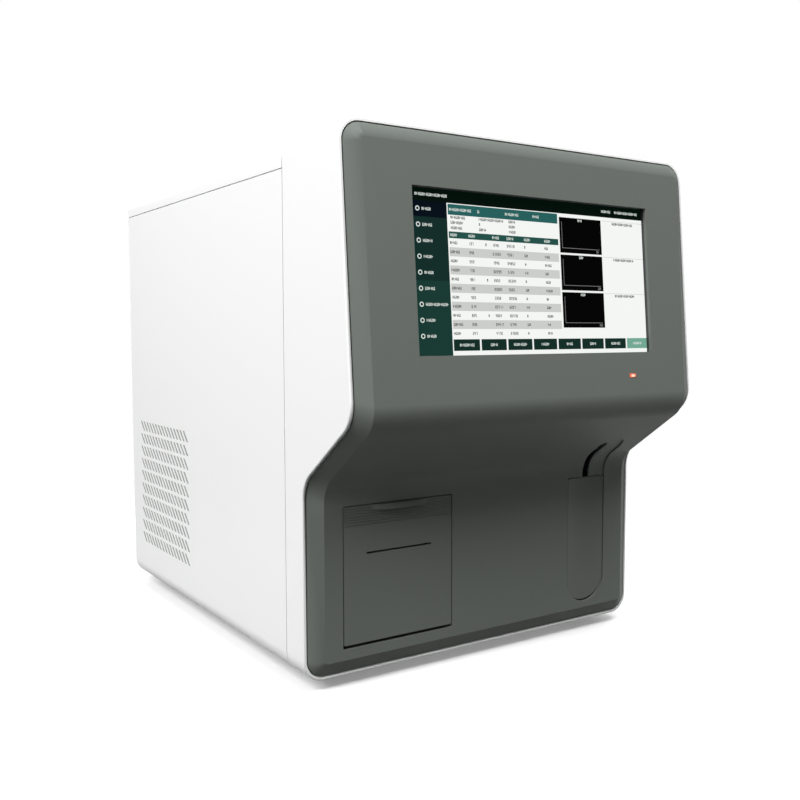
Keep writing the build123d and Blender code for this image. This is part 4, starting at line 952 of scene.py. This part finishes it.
    def results(self, bm: bmesh.types.BMesh) -> None:
        """Table of results, with its title, notes and striped rows.

        Args:
            bm: Mesh of the picture.
        """
        left, top, right, bottom = self.table
        self.patch(bm, (left, top, right, self.table_head), Ink.TEAL, Level.AREA)
        for place, length in self.table_words:
            middle = (top + self.table_head) / 2
            self.word(bm, (place, middle), length, Ink.PALE_WORD, length)
        for row, middle in enumerate(self.note_rows):
            for column in self.notes:
                column.show(self, bm, row, middle)
        self.patch(bm, (left, self.header[0], right, self.header[1]), Ink.HEADER, Level.AREA)
        for place in self.header_words:
            spot = (place, sum(self.header) / 2)
            self.word(bm, spot, self.header_length, Ink.PALE_WORD, round(place / MM))
        pitch = (bottom - self.header[1]) / self.rows
        for row in range(self.rows):
            high = self.header[1] + row * pitch
            if row % 2:
                self.patch(bm, (left, high, right, high + pitch), Ink.STRIPE, Level.AREA)
            for column in self.columns:
                column.show(self, bm, row, high + pitch / 2)

    def histograms(self, bm: bmesh.types.BMesh) -> None:
        """Three black graphs with their axes, and the notes beside them.

        Args:
            bm: Mesh of the picture.
        """
        left, right = self.graph_x
        near, far = left + self.axis_ends[0], right - self.axis_ends[1]
        for graph, top in enumerate(self.graph_y):
            self.patch(bm, (left, top, right, top + self.graph_tall), Ink.GRAPH, Level.AREA)
            axis = top + self.graph_tall - self.axis_up
            self.patch(bm, (near, axis, far, axis + self.axis_w), Ink.AXIS, Level.INSET)
            upright = (near, top + self.axis_top, near + self.axis_w, axis)
            self.patch(bm, upright, Ink.AXIS, Level.INSET)
            name = ((left + right) / 2 - self.graph_name[0], top + self.graph_name[1])
            self.word(bm, name, self.graph_name_length, Ink.PALE_WORD, graph)
            unit = (far - self.unit[0], axis + self.unit[1])
            self.word(bm, unit, self.unit_length, Ink.AXIS, graph)
            note = (self.side_note[0], top + self.side_note[1])
            self.word(bm, note, self.side_note_length, Ink.DARK_WORD, graph + 2)
            rule = (right + self.rule_gap, top, self.width, top + self.axis_w)
            self.patch(bm, rule, Ink.STRIPE, Level.AREA)

    def button_row(self, bm: bmesh.types.BMesh) -> None:
        """Row of buttons along the bottom, the last one pale.

        Args:
            bm: Mesh of the picture.
        """
        top, bottom = self.button_y
        last = len(self.button_lengths) - 1
        for button, length in enumerate(self.button_lengths):
            start = self.button_x + button * self.button_pitch
            end = min(start + self.button_w, self.width)
            ink = Ink.BUTTON_PALE if button == last else Ink.BUTTON
            self.patch(bm, (start, top, end, bottom), ink, Level.AREA)
            spot = (start + self.button_w / 2 - length * self.half_mark, (top + bottom) / 2)
            self.word(bm, spot, length, Ink.PALE_WORD, button)

    def picture(self) -> None:
        """Builds the picture on the face of the glass."""
        bm = bmesh.new()
        self.patch(bm, (0.0, 0.0, self.width, self.height), Ink.WHITE, Level.GROUND)
        self.head(bm)
        self.side_menu(bm)
        self.results(bm)
        self.histograms(bm)
        self.button_row(bm)
        low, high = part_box("touch_screen")
        out = Vector((0.0, -math.cos(self.tilt), math.sin(self.tilt)))
        upward = Vector((0.0, math.sin(self.tilt), math.cos(self.tilt)))
        place = Matrix((Vector((1, 0, 0)), upward, out)).transposed().to_4x4()
        place.translation = (low + high) / 2 + out * (self.glass_t / 2)
        bm.transform(place)
        piece = finished("screen_picture", bm)
        for ink in self.order:
            piece.data.materials.append(ink.value.material())
        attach(piece, body_of_node("touch_screen"))
        LOG.info("built screen_picture")

    def lens(self) -> None:
        """Dresses the status lamp's lens round its middle."""
        low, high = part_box("led_lens")
        lamp = replace(Look.LAMP.value, middle=tuple((low + high) / 2))
        set_plain("led_lens", lamp.material())

    def dresses(self) -> tuple[NodeDress, ...]:
        """Finishes of the display's CAD nodes."""
        return (
            NodeDress("touch_screen", Look.SCREEN_GLASS),
            NodeDress("screen_frame", Look.BLACK_PLASTIC),
            NodeDress("lcd_module", Look.BLACK_PLASTIC),
            NodeDress("display_bracket", Look.SHEET_STEEL),
            NodeDress("control_board", Look.CIRCUIT),
            NodeDress("led_board", Look.CIRCUIT),
        )

    def build(self) -> None:
        """Builds the picture, and dresses the lens and the rest of the display."""
        self.picture()
        self.lens()
        super().build()


@dataclass
class Casing(Assembly):
    """Dark front, white shell and covers, and the sheet metal under them."""

    edge: float = 0.25 * MM
    bend: float = 24.0
    shell_bend: float = 34.0
    border: float = 14.0 * MM
    flank: float = 0.3

    def paint_slot_shade(self, bm: bmesh.types.BMesh) -> None:
        """Gives the flanks of the vent slots the second finish, a painted shade that darkens them
        in place of the shade that falls inside the slots.

        Args:
            bm: Mesh of the left side panel's copy.
        """
        low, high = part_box("left_side_panel")
        for face in bm.faces:
            spot = face.calc_center_median()
            within = all(
                low[axis] + self.border < spot[axis] < high[axis] - self.border for axis in (1, 2)
            )
            if within and abs(face.normal.x) < self.flank:
                face.material_index = 1

    def dresses(self) -> tuple[NodeDress, ...]:
        """Finishes of the casing's CAD nodes."""
        # The vent slots' flanks take the painted shade finish.
        vents = {"work": self.paint_slot_shade, "shade": Look.SLOT_SHADE}
        return (
            NodeDress("front_panel", Look.DARK_PANEL, smooth=True, edge=self.edge, bend=self.bend),
            NodeDress("front_shell", Look.WHITE_CASE, smooth=True, bend=self.shell_bend),
            NodeDress("top_cover", Look.WHITE_CASE, smooth=True, edge=self.edge),
            NodeDress("left_side_panel", Look.WHITE_CASE, smooth=True, **vents),
            NodeDress("right_side_panel", Look.WHITE_CASE, smooth=True, edge=self.edge),
            NodeDress("rear_panel", Look.SHEET_STEEL),
            NodeDress("base_tray", Look.SHEET_STEEL),
            NodeDress("chassis_frame", Look.SHEET_STEEL),
            NodeDress("rubber_feet", Look.RUBBER, smooth=True),
            NodeDress("case_screws", Look.BRIGHT_STEEL, smooth=True),
        )


@dataclass
class Printer(Assembly):
    """Door, paper roll and the works behind the door."""

    edge: float = 0.12 * MM
    bend: float = 24.0
    tab_reach: float = 7.0 * MM
    tab_lean: float = 0.6
    hair: float = 0.1 * MM

    def lean_tab(self, bm: bmesh.types.BMesh) -> None:
        """Draws the upper rim of the door's finger tab back, so that its front faces upward.

        Args:
            bm: Mesh of the door's copy.
        """
        low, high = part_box("printer_door")
        face = low.y + self.tab_reach
        for vert in bm.verts:
            if vert.co.z > high.z - self.hair and vert.co.y < face - self.hair:
                vert.co.y = face + (vert.co.y - face) * self.tab_lean

    def dresses(self) -> tuple[NodeDress, ...]:
        """Finishes of the printer's CAD nodes."""
        door = {"edge": self.edge, "bend": self.bend, "work": self.lean_tab}
        return (
            NodeDress("printer_door", Look.DARK_TRIM, smooth=True, **door),
            NodeDress("door_hinge_pins", Look.BRIGHT_STEEL, smooth=True),
            NodeDress("printer_bucket", Look.BLACK_PLASTIC),
            NodeDress("roll_spindle", Look.BLACK_PLASTIC, smooth=True),
            NodeDress("paper_roll", Look.PAPER, smooth=True),
            NodeDress("platen_roller", Look.RUBBER, smooth=True),
            NodeDress("print_head", Look.BLACK_PLASTIC),
        )


@dataclass
class SampleStation(Assembly):
    """Aspirate key, and the gantry that carries the probe out to the tube and back."""

    edge: float = 0.3 * MM
    bend: float = 24.0

    def dresses(self) -> tuple[NodeDress, ...]:
        """Finishes of the sampling works' CAD nodes."""
        return (
            NodeDress("aspirate_key", Look.DARK_TRIM, smooth=True, edge=self.edge, bend=self.bend),
            NodeDress("key_guide", Look.BLACK_PLASTIC),
            NodeDress("key_switch", Look.BLACK_PLASTIC),
            NodeDress("sample_probe", Look.FITTING, smooth=True),
            NodeDress("probe_holder", Look.ALUMINIUM),
            NodeDress("wash_block", Look.ACRYLIC, smooth=True),
            NodeDress("probe_carriage", Look.ALUMINIUM),
            NodeDress("drop_screw", Look.BRIGHT_STEEL, smooth=True),
            NodeDress("drop_motor", Look.MOTOR_PAINT),
            NodeDress("gantry_bracket", Look.ALUMINIUM),
            NodeDress("gantry_rods", Look.BRIGHT_STEEL, smooth=True),
            NodeDress("advance_screw", Look.BRIGHT_STEEL, smooth=True),
            NodeDress("advance_motor", Look.MOTOR_PAINT),
        )


class Fluidics(Assembly):
    """Baths, syringes, pump, valves and the waste chamber."""

    def dresses(self) -> tuple[NodeDress, ...]:
        """Finishes of the fluid works' CAD nodes."""
        return (
            NodeDress("syringe_barrels", Look.BARREL_GLASS),
            NodeDress("shield_box", Look.SHEET_STEEL),
            NodeDress("white_cell_bath", Look.ACRYLIC, smooth=True),
            NodeDress("red_cell_bath", Look.ACRYLIC, smooth=True),
            NodeDress("syringe_block", Look.ALUMINIUM),
            NodeDress("syringe_plungers", Look.PISTON, smooth=True),
            NodeDress("syringe_screw", Look.BRIGHT_STEEL, smooth=True),
            NodeDress("syringe_motor", Look.MOTOR_PAINT),
            NodeDress("pump_head", Look.PISTON, smooth=True),
            NodeDress("pump_rotor", Look.PISTON, smooth=True),
            NodeDress("pump_motor", Look.MOTOR_PAINT, smooth=True),
            NodeDress("valve_bank", Look.PISTON, smooth=True),
            NodeDress("waste_chamber", Look.ACRYLIC, smooth=True),
        )


class RearConnections(Assembly):
    """Boards, supply and fan, with the mains inlet, sockets and hose fittings."""

    def dresses(self) -> tuple[NodeDress, ...]:
        """Finishes of the CAD nodes at the rear."""
        return (
            NodeDress("main_board", Look.CIRCUIT),
            NodeDress("power_supply", Look.ALUMINIUM),
            NodeDress("fan_frame", Look.BLACK_PLASTIC, smooth=True),
            NodeDress("fan_rotor", Look.BLACK_PLASTIC, smooth=True),
            NodeDress("fan_guard", Look.FITTING, smooth=True),
            NodeDress("inlet_socket", Look.BLACK_PLASTIC),
            NodeDress("power_rocker", Look.BLACK_PLASTIC),
            NodeDress("rocker_pin", Look.BRIGHT_STEEL),
            NodeDress("data_sockets", Look.BLACK_PLASTIC),
            NodeDress("hose_fittings", Look.FITTING, smooth=True),
        )


@dataclass(frozen=True)
class SoftLamp:
    """Square soft lamp that looks at the object.

    Its azimuth is degrees to the left of the front and its rise degrees above the table. Its
    distance from the object's middle and its side are metres, and its power is watts.
    """

    name: str
    azimuth: float
    rise: float
    distance: float
    side: float
    power: float

    def hang(self, middle: Vector) -> None:
        """Makes the lamp.

        Args:
            middle: The object's middle.
        """
        turn, lift = math.radians(self.azimuth), math.radians(self.rise)
        level = math.cos(lift)
        out = Vector((-math.sin(turn) * level, -math.cos(turn) * level, math.sin(lift)))
        data = bpy.data.lights.new(self.name, "AREA")
        data.size = self.side
        data.energy = self.power
        lamp = bpy.data.objects.new(self.name, data)
        aim = (-out).to_track_quat("-Z", "Y").to_matrix().to_4x4()
        lamp.matrix_world = Matrix.Translation(middle + out * self.distance) @ aim
        bpy.context.scene.collection.objects.link(lamp)


@dataclass
class Studio:
    """Pale floor, soft lamps and the camera at the photograph's viewing angle."""

    camera_at: Vector = field(default_factory=lambda: Vector((-0.47237, -0.75095, 0.26430)))
    looking: Vector = field(default_factory=lambda: Vector((0.55207, 0.83058, -0.07311)))
    roll: float = math.radians(-0.077)
    lens: float = 41.99
    sensor: float = 36.0
    nearest: float = 0.01
    farthest: float = 50.0
    middle: Vector = field(default_factory=lambda: Vector((0.0, 0.0, 0.2)))
    ambient: float = 0.28
    paper: Colour = (0.86, 0.86, 0.86)
    paper_roughness: float = 0.9
    paper_glow: float = 0.22
    paper_bounce: Colour = (0.05, 0.05, 0.05)
    paper_half: float = 12.0
    plain_from: float = 0.42
    plain_to: float = 0.80
    lamps: tuple[SoftLamp, ...] = (
        SoftLamp("side_lamp", 74.0, 38.0, 2.2, 1.3, 51.5),
        SoftLamp("top_lamp", -8.0, 60.0, 2.2, 1.2, 44.0),
        SoftLamp("back_lamp", -145.0, 22.0, 2.2, 1.2, 20.0),
    )

    def camera(self) -> None:
        """Sets up the camera, with depth of field off."""
        data = bpy.data.cameras.new("camera")
        data.lens = self.lens
        data.sensor_width = self.sensor
        data.clip_start = self.nearest
        data.clip_end = self.farthest
        data.dof.use_dof = False
        eye = bpy.data.objects.new("camera", data)
        aim = self.looking.to_track_quat("-Z", "Y").to_matrix()
        turn = aim @ Matrix.Rotation(self.roll, 3, "Z")
        eye.matrix_world = Matrix.Translation(self.camera_at) @ turn.to_4x4()
        bpy.context.scene.collection.objects.link(eye)
        bpy.context.scene.camera = eye

    def world(self) -> None:
        """White background for what is seen, and a lower even light for the object."""
        world = bpy.data.worlds.new("studio")
        bpy.context.scene.world = world
        desk = ShaderDesk(world)
        lit = desk.shader("ShaderNodeBackground", Color=WHITE, Strength=self.ambient)
        shown = desk.shader("ShaderNodeBackground", Color=WHITE)
        surface = desk.blend(desk.seen(), lit, shown)
        desk.node("ShaderNodeOutputWorld", {}, {"Surface": surface})

    def floor(self) -> None:
        """White paper that keeps the analyzer's shadow and runs out into the background."""
        bm = bmesh.new()
        bmesh.ops.create_grid(bm, x_segments=1, y_segments=1, size=self.paper_half)
        floor = finished("floor", bm)
        desk = ShaderDesk(bpy.data.materials.new("floor_paper"))
        near = desk.shader(
            "ShaderNodeBsdfPrincipled",
            Base_Color=(*self.paper, 1.0),
            Roughness=self.paper_roughness,
            Specular_IOR_Level=0.0,
            Emission_Color=WHITE,
            Emission_Strength=self.paper_glow,
        )
        plain = desk.shader("ShaderNodeEmission", Color=WHITE)
        outward = desk.share(desk.away(), self.plain_from, self.plain_to)
        shown = desk.blend(outward, near, plain)
        lighting = desk.shader("ShaderNodeBsdfDiffuse", Color=(*self.paper_bounce, 1.0))
        surface = desk.blend(desk.seen(), lighting, shown)
        desk.node("ShaderNodeOutputMaterial", {}, {"Surface": surface})
        floor.data.materials.append(desk.owner)

    def build(self) -> None:
        """Sets up everything that isn't the analyzer."""
        self.camera()
        self.world()
        self.floor()
        for lamp in self.lamps:
            lamp.hang(self.middle)
        bpy.context.scene.view_settings.view_transform = "Standard"


def main() -> None:
    """Builds the analyzer's sub-assemblies and the studio, and reports each piece."""
    logging.basicConfig(level=logging.INFO, format="%(name)s %(message)s")
    assemblies = (
        Casing(), Display(), Printer(), SampleStation(), Fluidics(), RearConnections(), Studio(),
    )
    for assembly in assemblies:
        LOG.info("building %s", type(assembly).__name__)
        assembly.build()


if __name__ == "__main__":
    main()
